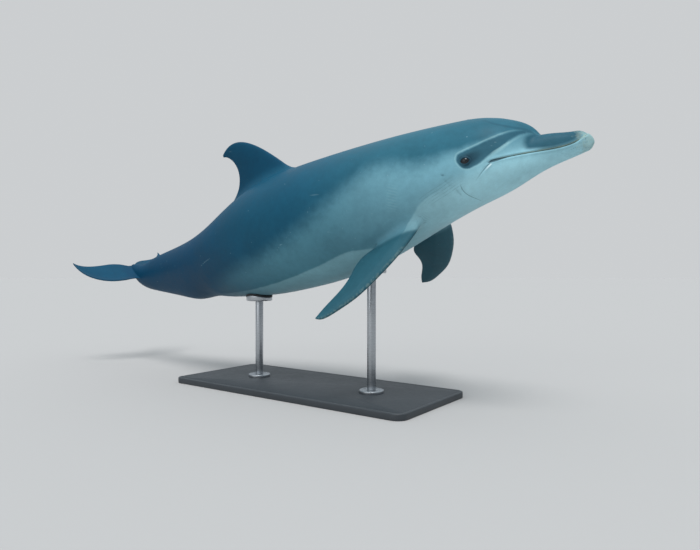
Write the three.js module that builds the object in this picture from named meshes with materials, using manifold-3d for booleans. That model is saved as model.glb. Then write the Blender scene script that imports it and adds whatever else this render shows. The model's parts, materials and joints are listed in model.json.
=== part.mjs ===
// A bottlenose dolphin at life size, climbing gently with its right side turned a little down,
// held by two rods on a flat display base.
// Millimetres, +Z up. The dolphin heads along +X and its left side is towards +Y.
// The origin is the centre of the underside of the base.

import * as THREE from "three";
import { mergeVertices } from "three/addons/utils/BufferGeometryUtils.js";
import Module from "manifold-3d";

const wasm = await Module();
wasm.setup();

// ---- Driving dimensions ----

const BODY_LENGTH = 2400; // tip of the upper jaw to the end of the tail, along the body
const PERCENT = BODY_LENGTH / 100; // stations and offsets on the animal are counted in this unit
const GAP = 0.3; // clearance between neighbouring solids, mm
const HALF_GAP = GAP / 2 / PERCENT;

// The animal's attitude, and the height of its reference point above the floor.
const CLIMB = 14.3; // degrees, head up
const BANK = 9.0; // degrees, left side up
const REFERENCE_STATION = 40;
const REFERENCE_POINT = new THREE.Vector3(80, -6, 660); // mm

// Profiles: [station, value], both in percent of the body length.
const TOP = [
  [5.5, 3.18], [8, 3.6], [11, 4.78], [15, 5.77], [22, 7.0], [30, 8.17], [38, 9.12],
  [46, 9.75], [55, 9.2], [64, 7.05], [73, 5.35], [82, 4.6], [90, 3.5], [96, 1.8], [100, 0.8],
];
const BOTTOM = [
  [-0.57, -3.7], [0, -3.62], [1.2, -3.7], [3, -3.86], [6, -4.24], [10, -5.25], [15, -6.05],
  [22, -7.41], [30, -9.11], [38, -9.97], [46, -9.8], [55, -8.96], [61, -8.0], [65.5, -7.2], [68.6, -6.59],
  [71.3, -6.5], [74.7, -6.37],
  [78.3, -5.58], [81.5, -4.71], [90, -2.75], [96, -1.5], [100, -0.75],
];
const HALF_WIDTH = [
  [0, 1.0], [2.5, 1.35], [5.5, 1.8], [8, 3.2], [11, 4.6], [15, 5.6], [22, 6.9], [30, 8.0], [38, 8.5],
  [46, 8.3], [55, 7.4], [64, 5.8], [73, 4.0], [82, 2.6], [90, 1.7], [96, 1.2], [100, 0.9],
];
// The widest level of each section, which is the mouth line back to the gape.
const MIDDLE = [
  [-0.57, -2.62], [-0.52, -2.36], [-0.4, -2.08], [-0.2, -1.84], [0.05, -1.72], [0.3, -1.76],
  [1, -2.06], [1.8, -2.24], [3.5, -2.18], [6, -1.81], [9, -1.48], [11.5, -1.3], [16, -1.0], [24, -0.3],
  [40, 0], [100, 0],
];
const BEAK_TOP = [[0, -0.94], [1.5, -0.74], [3.5, -0.17], [6, 0.35], [9, 0.57], [14, 1.2]];
const BEAK_HALF_WIDTH = [[0, 1.0], [1.5, 1.2], [3.5, 1.45], [6, 1.9], [9, 2.6], [14, 3.4]];

// The keels of the tail stock: the lower the power, the sharper the ridge. [station, power]
const UPPER_KEEL = [[50, 2], [70, 1.75], [85, 1.5], [95, 1.6], [100, 2]];
const LOWER_KEEL = [[55, 2], [70, 1.8], [85, 1.55], [95, 1.7], [100, 2]];
const SECTION_POWER = 2.15; // up and down
const BEAK_POWER = 2.3;

const UPPER_TIP = 0; // station of the end of the upper jaw
const LOWER_TIP = -0.57; // the lower jaw reaches further
const TIP_ROUNDING = 1.2; // length of the rounded end of each jaw
const GAPE = 11.4; // corner of the mouth
const MELON_FRONT = 5.1; // crease between beak and forehead
const MELON_LENGTH = 4.6;
const MELON_BLEND = 0.35;
const MELON_START = { width: 0.2, height: 0.25 }; // share of the full section where the melon begins
const LIP_BLEND = 0.35; // sine of the angle over the mouth line where the jaws' common width ends
const BEAK_END = 14; // where the beak's own shape is lost in the head
const TAIL_END = 98.2;
const TAIL_ROUNDING = 5;
const END_CLEARANCE = 0.002; // the outermost ring of a rounded end stays this far inside it

// Between two stations the body turns: the part behind goes up, or to the left, by these degrees.
const HEAD_TURN = { up: 0.7, left: -6.8 };
const BENDS = [
  { from: 8, to: 28, up: -0.7, left: 6.8 },
  { from: 45, to: 78, up: 4.5, left: 5.3 },
  { from: 75, to: 102, up: 8.0, left: -1.5 },
  { from: 89, to: 98, up: 42, left: 0 },
];

// Where the body is divided.
const NECK_FRONT = 18;
const NECK_REAR = 24;
const CHEST_REAR = 41;
const ABDOMEN_REAR = 60;
const STOCK_MIDDLE = 79;

// Fins: front and rear edges, [back, out] from the front of the root. Four points are those of a cubic
// Bezier curve; through more than four the edge runs as a spline.
const DORSAL = {
  front: [[0, 0], [3.48, 4.42], [9.27, 12.4], [14.78, 9.2]],
  rear: [[17.6, -0.5], [8.95, 3.14], [12.65, 8.37], [14.82, 8.77]],
  thickness: 1.1,
  taper: 0.8,
  root: 43.3,
  rootEnd: 59.1,
  sink: 0.2,
  depth: 2.2,
  cut: [30, 75], // the length of body that the root is shaped to
};
const FLIPPER = {
  front: [[0.13, 0], [0.96, 4.34], [2.46, 8.22], [4.36, 11.62], [6.55, 13.96], [8.68, 15.69], [10.47, 15.95]],
  rear: [[6.18, 3.5], [7.69, 4.78], [8.47, 6.69], [8.34, 8.95], [8.83, 11.39], [9.88, 13.76], [10.57, 15.9]],
  thickness: 1.15,
  taper: 0.7,
  root: { station: 21.86, out: 5.3, up: -6.26 },
  depth: 4.4,
  cut: [12.6, 41],
};
const FLUKE = {
  front: [[0, 0], [1.75, 4.45], [2.9, 10.6], [9.7, 10.5]],
  rear: [[5.4, 0], [8.0, 2.3], [6.6, 8.9], [10.1, 10.4]],
  thickness: 0.75,
  taper: 0.7,
  root: 93,
  span: 12,
  cut: [82.5, TAIL_END - END_CLEARANCE],
};
const RIGHT_FLIPPER_SET = { sweep: 22.1, lowered: 44.2, twist: -3.1 };
const LEFT_FLIPPER_SET = { sweep: 11.8, lowered: 38.1, twist: 1.6 };
const RIGHT_FLUKE_SET = { droop: 13, curl: 1.0 }; // droop: degrees
const LEFT_FLUKE_SET = { droop: 21, curl: 2.0 };
const FIN_EDGE = 0.03; // half the thickness of the thinnest edge
const FIN_TIP_THICKNESS = 0.12;
const FOIL = [0.2969, -0.126, -0.3516, 0.2843, -0.1036]; // root of x, x, x^2, x^3, x^4
const FOIL_FULLNESS = 5.2; // brings the foil's widest half-thickness to about half its thickness

const EYE = { station: 13.9, above: 6.9, radius: 19, depth: 13.5 }; // above: degrees; others mm

// Display stand, mm.
const BASE = { length: 1100, width: 460, height: 22, corner: 40, bevel: 3 };
const ROD_RADIUS = 16;
const ROD_SPREAD = 285; // each rod stands this far from the centre
const FLANGE = { radius: 45, height: 10 };
const SADDLE = { radius: 55, below: 20, above: 60, cut: [24, 71] };

// ---- Mesh density ----

const SEGMENTS = 30; // points round the body
const FIN_POINTS = 10; // points along each side of a fin section
const FIN_SECTIONS = 12;
const FIN_CROWDING = 1.3; // sections lie closer together towards the tip
const ROUND_SEGMENTS = 28;
const LEAST_STEP = 0.02; // stations nearer than this to the end of a length are left out
const STATIONS = [
  -0.5, -0.3, 0.06, 0.25, 0.6, 1.2, 2.2, 3.4, 4.5, 5.3, 5.7, 6.2, 6.9, 7.7, 8.7, 9.9, 11.4, 13, 14.5,
  16, 18, 21, 24, 27, 30, 33.5, 37, 41, 45, 49, 53, 56.5, 60, 63, 66, 68.5, 71, 73.5, 76, 79, 82.5, 86,
  89, 91, 92.7, 94.2, 95.6, 96.8, 97.6, 98,
];

// ---- Curves ----

// Natural cubic spline through the points, held at its end values outside them.
function spline(points) {
  const n = points.length;
  const x = points.map((p) => p[0]);
  const y = points.map((p) => p[1]);
  const bend = new Array(n).fill(0);
  const upper = new Array(n).fill(0);
  const right = new Array(n).fill(0);
  for (let i = 1; i < n - 1; i++) {
    const before = x[i] - x[i - 1];
    const after = x[i + 1] - x[i];
    const pivot = 2 * (before + after) - before * upper[i - 1];
    upper[i] = after / pivot;
    const turn = 6 * ((y[i + 1] - y[i]) / after - (y[i] - y[i - 1]) / before);
    right[i] = (turn - before * right[i - 1]) / pivot;
  }
  for (let i = n - 2; i > 0; i--) bend[i] = right[i] - upper[i] * bend[i + 1];
  return (value) => {
    const at = Math.min(Math.max(value, x[0]), x[n - 1]);
    let i = 0;
    while (i < n - 2 && at > x[i + 1]) i++;
    const h = x[i + 1] - x[i];
    const past = at - x[i];
    const left = x[i + 1] - at;
    const cubic = (bend[i] * left ** 3 + bend[i + 1] * past ** 3) / (6 * h);
    return cubic + (y[i] / h - (bend[i] * h) / 6) * left + (y[i + 1] / h - (bend[i + 1] * h) / 6) * past;
  };
}

function straight(points) {
  return (value) => {
    let i = 0;
    while (i < points.length - 2 && value > points[i + 1][0]) i++;
    const part = (value - points[i][0]) / (points[i + 1][0] - points[i][0]);
    return THREE.MathUtils.lerp(points[i][1], points[i + 1][1], THREE.MathUtils.clamp(part, 0, 1));
  };
}

function edgeAt(points, t) {
  if (points.length > 4) {
    const last = points.length - 1;
    return [0, 1].map((axis) => spline(points.map((p, i) => [i / last, p[axis]]))(t));
  }
  const s = 1 - t;
  const weights = [s ** 3, 3 * s * s * t, 3 * s * t * t, t ** 3];
  return [0, 1].map((axis) => weights.reduce((sum, w, i) => sum + w * points[i][axis], 0));
}

function softMax(a, b, width) {
  const part = THREE.MathUtils.clamp(0.5 + (0.5 * (a - b)) / width, 0, 1);
  return b + (a - b) * part + width * part * (1 - part);
}

const topAt = spline(TOP);
const bottomAt = spline(BOTTOM);
const halfWidthAt = spline(HALF_WIDTH);
const middleAt = spline(MIDDLE);
const beakTopAt = spline(BEAK_TOP);
const beakHalfWidthAt = spline(BEAK_HALF_WIDTH);
const upperKeelAt = straight(UPPER_KEEL);
const lowerKeelAt = straight(LOWER_KEEL);

// ---- Body sections ----

// Length of the ray (across, up) to the curve |y / w|^p + |z / h|^q = 1.
function superEllipse(across, up, w, h, p, q) {
  const y = Math.max(Math.abs(across), 1e-9) / w;
  const z = Math.max(Math.abs(up), 1e-9) / h;
  let r = 1 / Math.hypot(y, z);
  for (let i = 0; i < 10; i++) {
    const a = (r * y) ** p;
    const b = (r * z) ** q;
    r -= ((a + b - 1) * r) / (p * a + q * b);
  }
  return r;
}

// Fraction of the full section that is left near the rounded end of a jaw or of the tail.
function roundedEnd(distance, length) {
  const inside = THREE.MathUtils.clamp(1 - distance / length, 0, 1);
  return Math.sqrt(Math.max(1 - inside * inside, 1e-6));
}

// How far the section reaches from its middle in a direction given by two cosines.
function sectionReach(station, across, up) {
  const middle = middleAt(station);
  const end = roundedEnd(TAIL_END - station, TAIL_ROUNDING);
  const width = halfWidthAt(station) * end;
  const lowerEnd = roundedEnd(station - LOWER_TIP, TIP_ROUNDING);
  const lowerWidth = width * lowerEnd;
  const depth = (middle - bottomAt(station)) * lowerEnd * end;
  if (up <= 0) return superEllipse(across, up, lowerWidth, depth, lowerKeelAt(station), SECTION_POWER);
  const upperEnd = roundedEnd(station - UPPER_TIP, TIP_ROUNDING);
  const beakWidth = beakHalfWidthAt(station) * upperEnd;
  const beakHeight = (beakTopAt(station) - middle) * upperEnd;
  const beak = superEllipse(across, up, beakWidth, beakHeight, BEAK_POWER, BEAK_POWER);
  if (station <= MELON_FRONT) return beak;
  const inward = THREE.MathUtils.clamp((station - MELON_FRONT) / MELON_LENGTH, 0, 1);
  const rise = Math.sqrt(1 - (1 - inward) ** 2);
  const headWidth = width * THREE.MathUtils.lerp(MELON_START.width, 1, rise);
  const headHeight = (topAt(station) - middle) * THREE.MathUtils.lerp(MELON_START.height, 1, rise) * end;
  const head = superEllipse(across, up, headWidth, headHeight, upperKeelAt(station), SECTION_POWER);
  if (station >= BEAK_END) return head;
  const joined = softMax(beak, head, MELON_BLEND);
  // both jaws are as wide as each other along the mouth line
  const away = THREE.MathUtils.smoothstep(up / Math.hypot(across, up), 0, LIP_BLEND);
  return THREE.MathUtils.lerp(lowerWidth, joined, away);
}

// Point of the skin at an angle round the body: 0 at the back, 90 degrees on the left.
function skinPoint(station, angle, swell = 0) {
  const middle = middleAt(station);
  const across = Math.sin(angle) * halfWidthAt(station);
  const up = Math.cos(angle) * (Math.cos(angle) > 0 ? topAt(station) - middle : middle - bottomAt(station));
  const size = Math.hypot(across, up);
  const reach = sectionReach(station, across / size, up / size) + swell;
  return { left: (across / size) * reach, up: middle + (up / size) * reach };
}

// ---- The bent body in its attitude ----

const SPINE_START = -2;
const SPINE_END = 112;
const SPINE_STEPS = 456;
const SPINE_STEP = (SPINE_END - SPINE_START) / SPINE_STEPS;

function directionAt(station) {
  const turn = { up: HEAD_TURN.up, left: HEAD_TURN.left };
  for (const bend of BENDS) {
    const done = THREE.MathUtils.smoothstep(station, bend.from, bend.to);
    turn.up += bend.up * done;
    turn.left += bend.left * done;
  }
  const pitch = THREE.MathUtils.degToRad(turn.up);
  const yaw = THREE.MathUtils.degToRad(turn.left);
  const back = new THREE.Vector3(
    -Math.cos(pitch) * Math.cos(yaw), Math.cos(pitch) * Math.sin(yaw), Math.sin(pitch),
  );
  const left = new THREE.Vector3(Math.sin(yaw), Math.cos(yaw), 0);
  return { back, left, up: left.clone().cross(back) };
}

const spinePoints = [new THREE.Vector3()];
for (let i = 0; i < SPINE_STEPS; i++) {
  const middle = SPINE_START + (i + 0.5) * SPINE_STEP;
  spinePoints.push(spinePoints[i].clone().addScaledVector(directionAt(middle).back, SPINE_STEP));
}

function spineAt(station) {
  const place = (station - SPINE_START) / SPINE_STEP;
  const i = Math.min(Math.floor(place), SPINE_STEPS - 1);
  return spinePoints[i].clone().lerp(spinePoints[i + 1], place - i);
}

const spineReference = spineAt(REFERENCE_STATION);
const attitude = new THREE.Matrix4()
  .makeRotationY(-THREE.MathUtils.degToRad(CLIMB))
  .multiply(new THREE.Matrix4().makeRotationX(THREE.MathUtils.degToRad(BANK)));

// World point, in mm, of a place given on the body in percent.
function place(station, left, up) {
  const frame = directionAt(station);
  return spineAt(station)
    .sub(spineReference)
    .addScaledVector(frame.left, left)
    .addScaledVector(frame.up, up)
    .multiplyScalar(PERCENT)
    .applyMatrix4(attitude)
    .add(REFERENCE_POINT);
}

// ---- Solids ----

// Closed mesh through rings of equal length, shut at each end by a fan round the ring's centre.
function loft(rings) {
  const count = rings[0].length;
  const points = rings.flat();
  const faces = [];
  for (let i = 0; i < rings.length - 1; i++) {
    for (let j = 0; j < count; j++) {
      const a = i * count + j;
      const b = i * count + ((j + 1) % count);
      faces.push([a, b, b + count], [a, b + count, a + count]);
    }
  }
  for (const [first, turned] of [[0, true], [(rings.length - 1) * count, false]]) {
    const centre = new THREE.Vector3();
    for (let j = 0; j < count; j++) centre.addScaledVector(points[first + j], 1 / count);
    points.push(centre);
    for (let j = 0; j < count; j++) {
      const a = first + j;
      const b = first + ((j + 1) % count);
      faces.push(turned ? [b, a, points.length - 1] : [a, b, points.length - 1]);
    }
  }
  const volume = faces.reduce(
    (sum, [a, b, c]) => sum + points[a].dot(points[b].clone().cross(points[c])), 0,
  );
  const outward = volume > 0 ? faces : faces.map(([a, b, c]) => [c, b, a]);
  const geometry = new THREE.BufferGeometry().setFromPoints(points);
  geometry.setIndex(outward.flat());
  return geometry;
}

function solid(geometry) {
  const bare = geometry.clone();
  bare.deleteAttribute("normal");
  bare.deleteAttribute("uv");
  const merged = mergeVertices(bare, 1e-4);
  const vertProperties = merged.attributes.position.array;
  const triVerts = new Uint32Array(merged.index.array);
  return new wasm.Manifold(new wasm.Mesh({ numProp: 3, vertProperties, triVerts }));
}

// The largest piece of a solid, as a geometry.
function geometryOf(manifold) {
  const pieces = manifold.decompose();
  const largest = pieces.reduce((a, b) => (a.volume() > b.volume() ? a : b));
  const mesh = largest.getMesh();
  const positions = new Float32Array(mesh.numVert * 3);
  for (let i = 0; i < mesh.numVert; i++) {
    positions.set(mesh.vertProperties.subarray(i * mesh.numProp, i * mesh.numProp + 3), i * 3);
  }
  return new THREE.BufferGeometry()
    .setAttribute("position", new THREE.BufferAttribute(positions, 3))
    .setIndex(new THREE.BufferAttribute(mesh.triVerts, 1));
}

function stationsBetween(from, to) {
  return [from, ...STATIONS.filter((s) => s > from + LEAST_STEP && s < to - LEAST_STEP), to];
}

// One ring of the body. A side set to "shut" is flattened to the level of the mouth.
function bodyRing(station, { upper = "open", lower = "open", swell = 0 } = {}) {
  const ring = [];
  for (let i = 0; i < SEGMENTS; i++) {
    const angle = (2 * Math.PI * i) / SEGMENTS;
    const point = skinPoint(station, angle, swell);
    const above = Math.cos(angle) > 1e-6;
    const below = Math.cos(angle) < -1e-6;
    const level = middleAt(station);
    if (lower === "shut" && !above) point.up = level + HALF_GAP;
    if (upper === "shut" && !below) point.up = level - HALF_GAP;
    if (lower === "shut" && above) point.up = Math.max(point.up, level + HALF_GAP);
    if (upper === "shut" && below) point.up = Math.min(point.up, level - HALF_GAP);
    ring.push(place(station, point.left, point.up));
  }
  return ring;
}

function bodyLength(from, to, options) {
  return loft(stationsBetween(from, to).map((s) => bodyRing(s, options)));
}

// The body grown by the gap, to cut what grows from it or carries it.
function bodyCutter([from, to]) {
  return solid(bodyLength(from, to, { swell: GAP / PERCENT }));
}

// ---- Head and body ----

function upperBeak() {
  return bodyLength(UPPER_TIP + END_CLEARANCE, MELON_FRONT - HALF_GAP, { lower: "shut" });
}

function lowerJaw() {
  return bodyLength(LOWER_TIP + END_CLEARANCE, GAPE - HALF_GAP, { upper: "shut" });
}

function eyePlace(side) {
  const angle = side * THREE.MathUtils.degToRad(90 - EYE.above);
  const step = 0.02; // a short way along and round the skin
  const spot = (station, turn) => {
    const point = skinPoint(station, turn);
    return place(station, point.left, point.up);
  };
  const centre = spot(EYE.station, angle);
  const along = spot(EYE.station + step, angle).sub(centre);
  const round = spot(EYE.station, angle + step * side).sub(centre);
  const outward = round.cross(along).normalize();
  if (outward.y * side < 0) outward.negate();
  return centre.addScaledVector(outward, -EYE.depth);
}

function ball(centre, radius) {
  const geometry = new THREE.SphereGeometry(radius, ROUND_SEGMENTS / 2, ROUND_SEGMENTS / 4);
  return geometry.translate(centre.x, centre.y, centre.z);
}

function head() {
  const jawed = stationsBetween(MELON_FRONT + HALF_GAP, GAPE);
  const whole = stationsBetween(GAPE + HALF_GAP / 2, NECK_FRONT - HALF_GAP);
  const rings = [
    ...jawed.map((s) => bodyRing(s, { lower: "shut" })),
    ...whole.map((s) => bodyRing(s)),
  ];
  let carved = solid(loft(rings));
  for (const side of [-1, 1]) carved = carved.subtract(solid(ball(eyePlace(side), EYE.radius + GAP)));
  return geometryOf(carved);
}

// ---- Fins ----

// Sections of a fin from root to tip: points [back, out, thickness].
function finSections(fin) {
  const sections = [];
  for (let k = 0; k <= FIN_SECTIONS; k++) {
    const t = 1 - (1 - k / FIN_SECTIONS) ** FIN_CROWDING;
    const front = edgeAt(fin.front, t);
    const rear = edgeAt(fin.rear, t);
    const thickness = fin.thickness * (1 - t) ** fin.taper + FIN_TIP_THICKNESS;
    const side = [];
    for (let i = 0; i < FIN_POINTS; i++) {
      const x = (1 - Math.cos((Math.PI * i) / (FIN_POINTS - 1))) / 2;
      const foil = FOIL.reduce((sum, factor, power) => sum + factor * x ** (power || 0.5), 0);
      const back = THREE.MathUtils.lerp(front[0], rear[0], x);
      const out = THREE.MathUtils.lerp(front[1], rear[1], x);
      side.push([back, out, FOIL_FULLNESS * foil * thickness + FIN_EDGE]);
    }
    sections.push([...side, ...side.map(([back, out, thick]) => [back, out, -thick]).reverse()]);
  }
  if (fin.depth) sections.unshift(sections[0].map(([back, out, thick]) => [back, out - fin.depth, thick]));
  return sections;
}

function finSolid(fin, toPlace) {
  const rings = finSections(fin).map((section) => section.map((point) => toPlace(...point)));
  return solid(loft(rings));
}

function dorsalFin() {
  const start = topAt(DORSAL.root);
  const slope = (topAt(DORSAL.rootEnd) - start) / (DORSAL.rootEnd - DORSAL.root);
  const fin = finSolid(DORSAL, (back, out, thick) =>
    place(DORSAL.root + back, thick, start - DORSAL.sink + slope * back + out));
  return geometryOf(fin.subtract(bodyCutter(DORSAL.cut)));
}

function flipper(side, { sweep, lowered, twist }) {
  const [s, d, w] = [sweep, lowered, twist].map(THREE.MathUtils.degToRad);
  const fin = finSolid(FLIPPER, (back, out, thick) => {
    const twistedBack = back * Math.cos(w) - thick * Math.sin(w);
    const twistedThick = back * Math.sin(w) + thick * Math.cos(w);
    const sweptBack = twistedBack * Math.cos(s) + out * Math.sin(s);
    const sweptOut = out * Math.cos(s) - twistedBack * Math.sin(s);
    const across = FLIPPER.root.out + sweptOut * Math.cos(d) + twistedThick * Math.sin(d);
    const up = FLIPPER.root.up - sweptOut * Math.sin(d) + twistedThick * Math.cos(d);
    return place(FLIPPER.root.station + sweptBack, side * across, up);
  });
  return geometryOf(fin.subtract(bodyCutter(FLIPPER.cut)));
}

function fluke(side, { droop, curl }) {
  const fall = Math.tan(THREE.MathUtils.degToRad(droop));
  const fin = finSolid(FLUKE, (back, out, thick) => {
    const up = thick + curl * (out / FLUKE.span) ** 2 - out * fall;
    return place(FLUKE.root + back, side * (HALF_GAP + out), up);
  });
  return geometryOf(fin.subtract(bodyCutter(FLUKE.cut)));
}

// ---- Stand ----

function standBase() {
  const { length, width, height, corner, bevel } = BASE;
  const x = length / 2 - bevel;
  const y = width / 2 - bevel;
  const outline = new THREE.Shape();
  outline.moveTo(-x + corner, -y);
  outline.lineTo(x - corner, -y);
  outline.absarc(x - corner, -y + corner, corner, -Math.PI / 2, 0);
  outline.absarc(x - corner, y - corner, corner, 0, Math.PI / 2);
  outline.absarc(-x + corner, y - corner, corner, Math.PI / 2, Math.PI);
  outline.absarc(-x + corner, -y + corner, corner, Math.PI, 1.5 * Math.PI);
  const options = {
    depth: height - 2 * bevel, bevelThickness: bevel, bevelSize: bevel, bevelSegments: 1, curveSegments: 8,
  };
  return new THREE.ExtrudeGeometry(outline, options).translate(0, 0, bevel);
}

function upright(radius, from, to) {
  const geometry = new THREE.CylinderGeometry(radius, radius, to - from, ROUND_SEGMENTS);
  return geometry.rotateX(Math.PI / 2).translate(0, 0, (from + to) / 2);
}

// Height of the belly's lowest point on the plane across the body at x.
function bellyHeight(x) {
  const search = { from: 28, to: 66, step: 0.25, turnFrom: 140, turnTo: 220, near: 4 };
  let lowest = Infinity;
  for (let station = search.from; station < search.to; station += search.step) {
    for (let turn = search.turnFrom; turn <= search.turnTo; turn += 1) {
      const point = skinPoint(station, THREE.MathUtils.degToRad(turn));
      const world = place(station, point.left, point.up);
      if (Math.abs(world.x - x) < search.near) lowest = Math.min(lowest, world.z);
    }
  }
  return lowest;
}

function standPost(x) {
  const belly = bellyHeight(x);
  const flangeTop = BASE.height + GAP + FLANGE.height;
  const saddleFoot = belly - SADDLE.below;
  const flange = upright(FLANGE.radius, BASE.height + GAP, flangeTop);
  const rod = upright(ROD_RADIUS, flangeTop + GAP, saddleFoot - GAP);
  const block = solid(upright(SADDLE.radius, saddleFoot, belly + SADDLE.above).translate(x, 0, 0));
  const saddle = geometryOf(block.subtract(bodyCutter(SADDLE.cut)));
  return { flange, rod, saddle: saddle.translate(-x, 0, 0) };
}

// ---- Assembly ----

const skin = (color) => new THREE.MeshStandardMaterial({ color, roughness: 0.45, metalness: 0 });
const capeSkin = () => skin(0x35505f);
const flankSkin = () => skin(0x6f8a97);
const paleSkin = () => skin(0xa9bcc4);

const root = new THREE.Group();

function add(name, geometry, material, parent = root) {
  const mesh = new THREE.Mesh(geometry, material);
  mesh.name = name;
  parent.add(mesh);
  return mesh;
}

const animal = new THREE.Group();
root.add(animal);
add("beak_upper", upperBeak(), capeSkin(), animal);
add("jaw_lower", lowerJaw(), paleSkin(), animal);
add("head", head(), flankSkin(), animal);
add("neck", bodyLength(NECK_FRONT + HALF_GAP, NECK_REAR - HALF_GAP), flankSkin(), animal);
add("chest", bodyLength(NECK_REAR + HALF_GAP, CHEST_REAR - HALF_GAP), flankSkin(), animal);
add("abdomen", bodyLength(CHEST_REAR + HALF_GAP, ABDOMEN_REAR - HALF_GAP), flankSkin(), animal);
add("tail_stock_front", bodyLength(ABDOMEN_REAR + HALF_GAP, STOCK_MIDDLE - HALF_GAP), capeSkin(), animal);
add("tail_stock_rear", bodyLength(STOCK_MIDDLE + HALF_GAP, TAIL_END - END_CLEARANCE), capeSkin(), animal);
add("dorsal_fin", dorsalFin(), capeSkin(), animal);
add("flipper_right", flipper(-1, RIGHT_FLIPPER_SET), capeSkin(), animal);
add("flipper_left", flipper(1, LEFT_FLIPPER_SET), capeSkin(), animal);
add("fluke_right", fluke(-1, RIGHT_FLUKE_SET), capeSkin(), animal);
add("fluke_left", fluke(1, LEFT_FLUKE_SET), capeSkin(), animal);
for (const [name, side] of [["right", -1], ["left", 1]]) {
  const dark = new THREE.MeshStandardMaterial({ color: 0x14181b, roughness: 0.1, metalness: 0 });
  add("eye_" + name, ball(eyePlace(side), EYE.radius), dark, animal);
}

const stand = new THREE.Group();
root.add(stand);
const paint = () => new THREE.MeshStandardMaterial({ color: 0x2e3236, roughness: 0.5, metalness: 0 });
const steel = () => new THREE.MeshStandardMaterial({ color: 0xb4b8bb, roughness: 0.35, metalness: 1 });
const pad = () => new THREE.MeshStandardMaterial({ color: 0x1f2224, roughness: 0.8, metalness: 0 });
add("stand_base", standBase(), paint(), stand);
for (const [name, x] of [["front", ROD_SPREAD], ["rear", -ROD_SPREAD]]) {
  const post = new THREE.Group();
  post.position.x = x;
  stand.add(post);
  const pieces = standPost(x);
  add("stand_flange_" + name, pieces.flange, steel(), post);
  add("stand_rod_" + name, pieces.rod, steel(), post);
  add("stand_saddle_" + name, pieces.saddle, pad(), post);
}

export default root;
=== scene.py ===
"""A life-size display model of a bottlenose dolphin, climbing gently on a plain two-rod stand.

Metres, +Z up. The dolphin heads along +X and its left side is towards +Y. Places on the animal are
given by a station, in percent of its length from the tip of the upper jaw, and an angle round the
body, 0 at the back, 90 degrees at the left side and 180 at the belly.
"""

import json
import math

import bmesh
import bpy
import numpy as np
from mathutils import Matrix, Vector
from mathutils.bvhtree import BVHTree
from mathutils.kdtree import KDTree

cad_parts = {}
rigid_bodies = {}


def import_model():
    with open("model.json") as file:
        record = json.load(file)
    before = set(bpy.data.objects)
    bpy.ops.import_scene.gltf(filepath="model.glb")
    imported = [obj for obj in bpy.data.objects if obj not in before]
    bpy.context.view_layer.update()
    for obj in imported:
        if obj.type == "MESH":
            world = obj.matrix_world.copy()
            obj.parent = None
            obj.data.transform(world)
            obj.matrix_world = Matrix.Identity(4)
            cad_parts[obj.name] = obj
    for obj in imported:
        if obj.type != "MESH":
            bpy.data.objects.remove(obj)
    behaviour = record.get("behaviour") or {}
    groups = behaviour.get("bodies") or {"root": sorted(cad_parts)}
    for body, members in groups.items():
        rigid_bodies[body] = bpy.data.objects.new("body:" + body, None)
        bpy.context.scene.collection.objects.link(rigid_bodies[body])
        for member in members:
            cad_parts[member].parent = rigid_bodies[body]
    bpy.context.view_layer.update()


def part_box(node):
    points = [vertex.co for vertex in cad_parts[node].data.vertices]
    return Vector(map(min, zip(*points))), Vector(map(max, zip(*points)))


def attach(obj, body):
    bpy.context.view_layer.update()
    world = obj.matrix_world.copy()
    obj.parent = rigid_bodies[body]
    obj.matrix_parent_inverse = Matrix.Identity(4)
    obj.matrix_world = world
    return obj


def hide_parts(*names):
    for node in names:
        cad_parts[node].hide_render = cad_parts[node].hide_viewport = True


for thing in list(bpy.data.objects):  # an empty scene to begin with
    bpy.data.objects.remove(thing)
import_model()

BODY_LENGTH = 2.4  # metres, tip of the upper jaw to the end of the tail, along the body
PERCENT = BODY_LENGTH / 100  # stations and offsets on the animal are counted in this unit
MM = 0.001

CLIMB = 14.3  # degrees, head up
BANK = 9.0  # degrees, left side up
REFERENCE_STATION = 40  # the body's middle line passes the reference point at this station
REFERENCE_POINT = np.array([0.080, -0.006, 0.660])

# Profiles of the body: [station, value], both in percent of its length.
TOP = [
    [5.5, 3.18], [8, 3.6], [11, 4.78], [15, 5.77], [22, 7.0], [30, 8.17], [38, 9.12],
    [46, 9.75], [55, 9.2], [64, 7.05], [73, 5.35], [82, 4.6], [90, 3.5], [96, 1.8], [100, 0.8],
]
BOTTOM = [
    [-0.57, -3.7], [0, -3.62], [1.2, -3.7], [3, -3.86], [6, -4.24], [10, -5.25], [15, -6.05],
    [22, -7.41], [30, -9.11], [38, -9.97], [46, -9.8], [55, -8.96], [61, -8.0], [65.5, -7.2],
    [68.6, -6.59], [71.3, -6.5], [74.7, -6.37], [78.3, -5.58], [81.5, -4.71], [90, -2.75], [96, -1.5],
    [100, -0.75],
]
HALF_WIDTH = [
    [0, 1.0], [2.5, 1.35], [5.5, 1.8], [8, 3.2], [11, 4.6], [15, 5.6], [22, 6.9], [30, 8.0], [38, 8.5],
    [46, 8.3], [55, 7.4], [64, 5.8], [73, 4.0], [82, 2.6], [90, 1.7], [96, 1.2], [100, 0.9],
]
# The widest level of each section, which is the mouth line back to the gape.
MIDDLE = [
    [-0.57, -2.62], [-0.52, -2.36], [-0.4, -2.08], [-0.2, -1.84], [0.05, -1.72], [0.3, -1.76],
    [1, -2.06], [1.8, -2.24], [3.5, -2.18], [6, -1.81], [9, -1.48], [11.5, -1.3], [16, -1.0], [24, -0.3],
    [40, 0], [100, 0],
]
BEAK_TOP = [[0, -0.94], [1.5, -0.74], [3.5, -0.17], [6, 0.35], [9, 0.57], [14, 1.2]]
BEAK_HALF_WIDTH = [[0, 1.0], [1.5, 1.2], [3.5, 1.45], [6, 1.9], [9, 2.6], [14, 3.4]]
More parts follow.
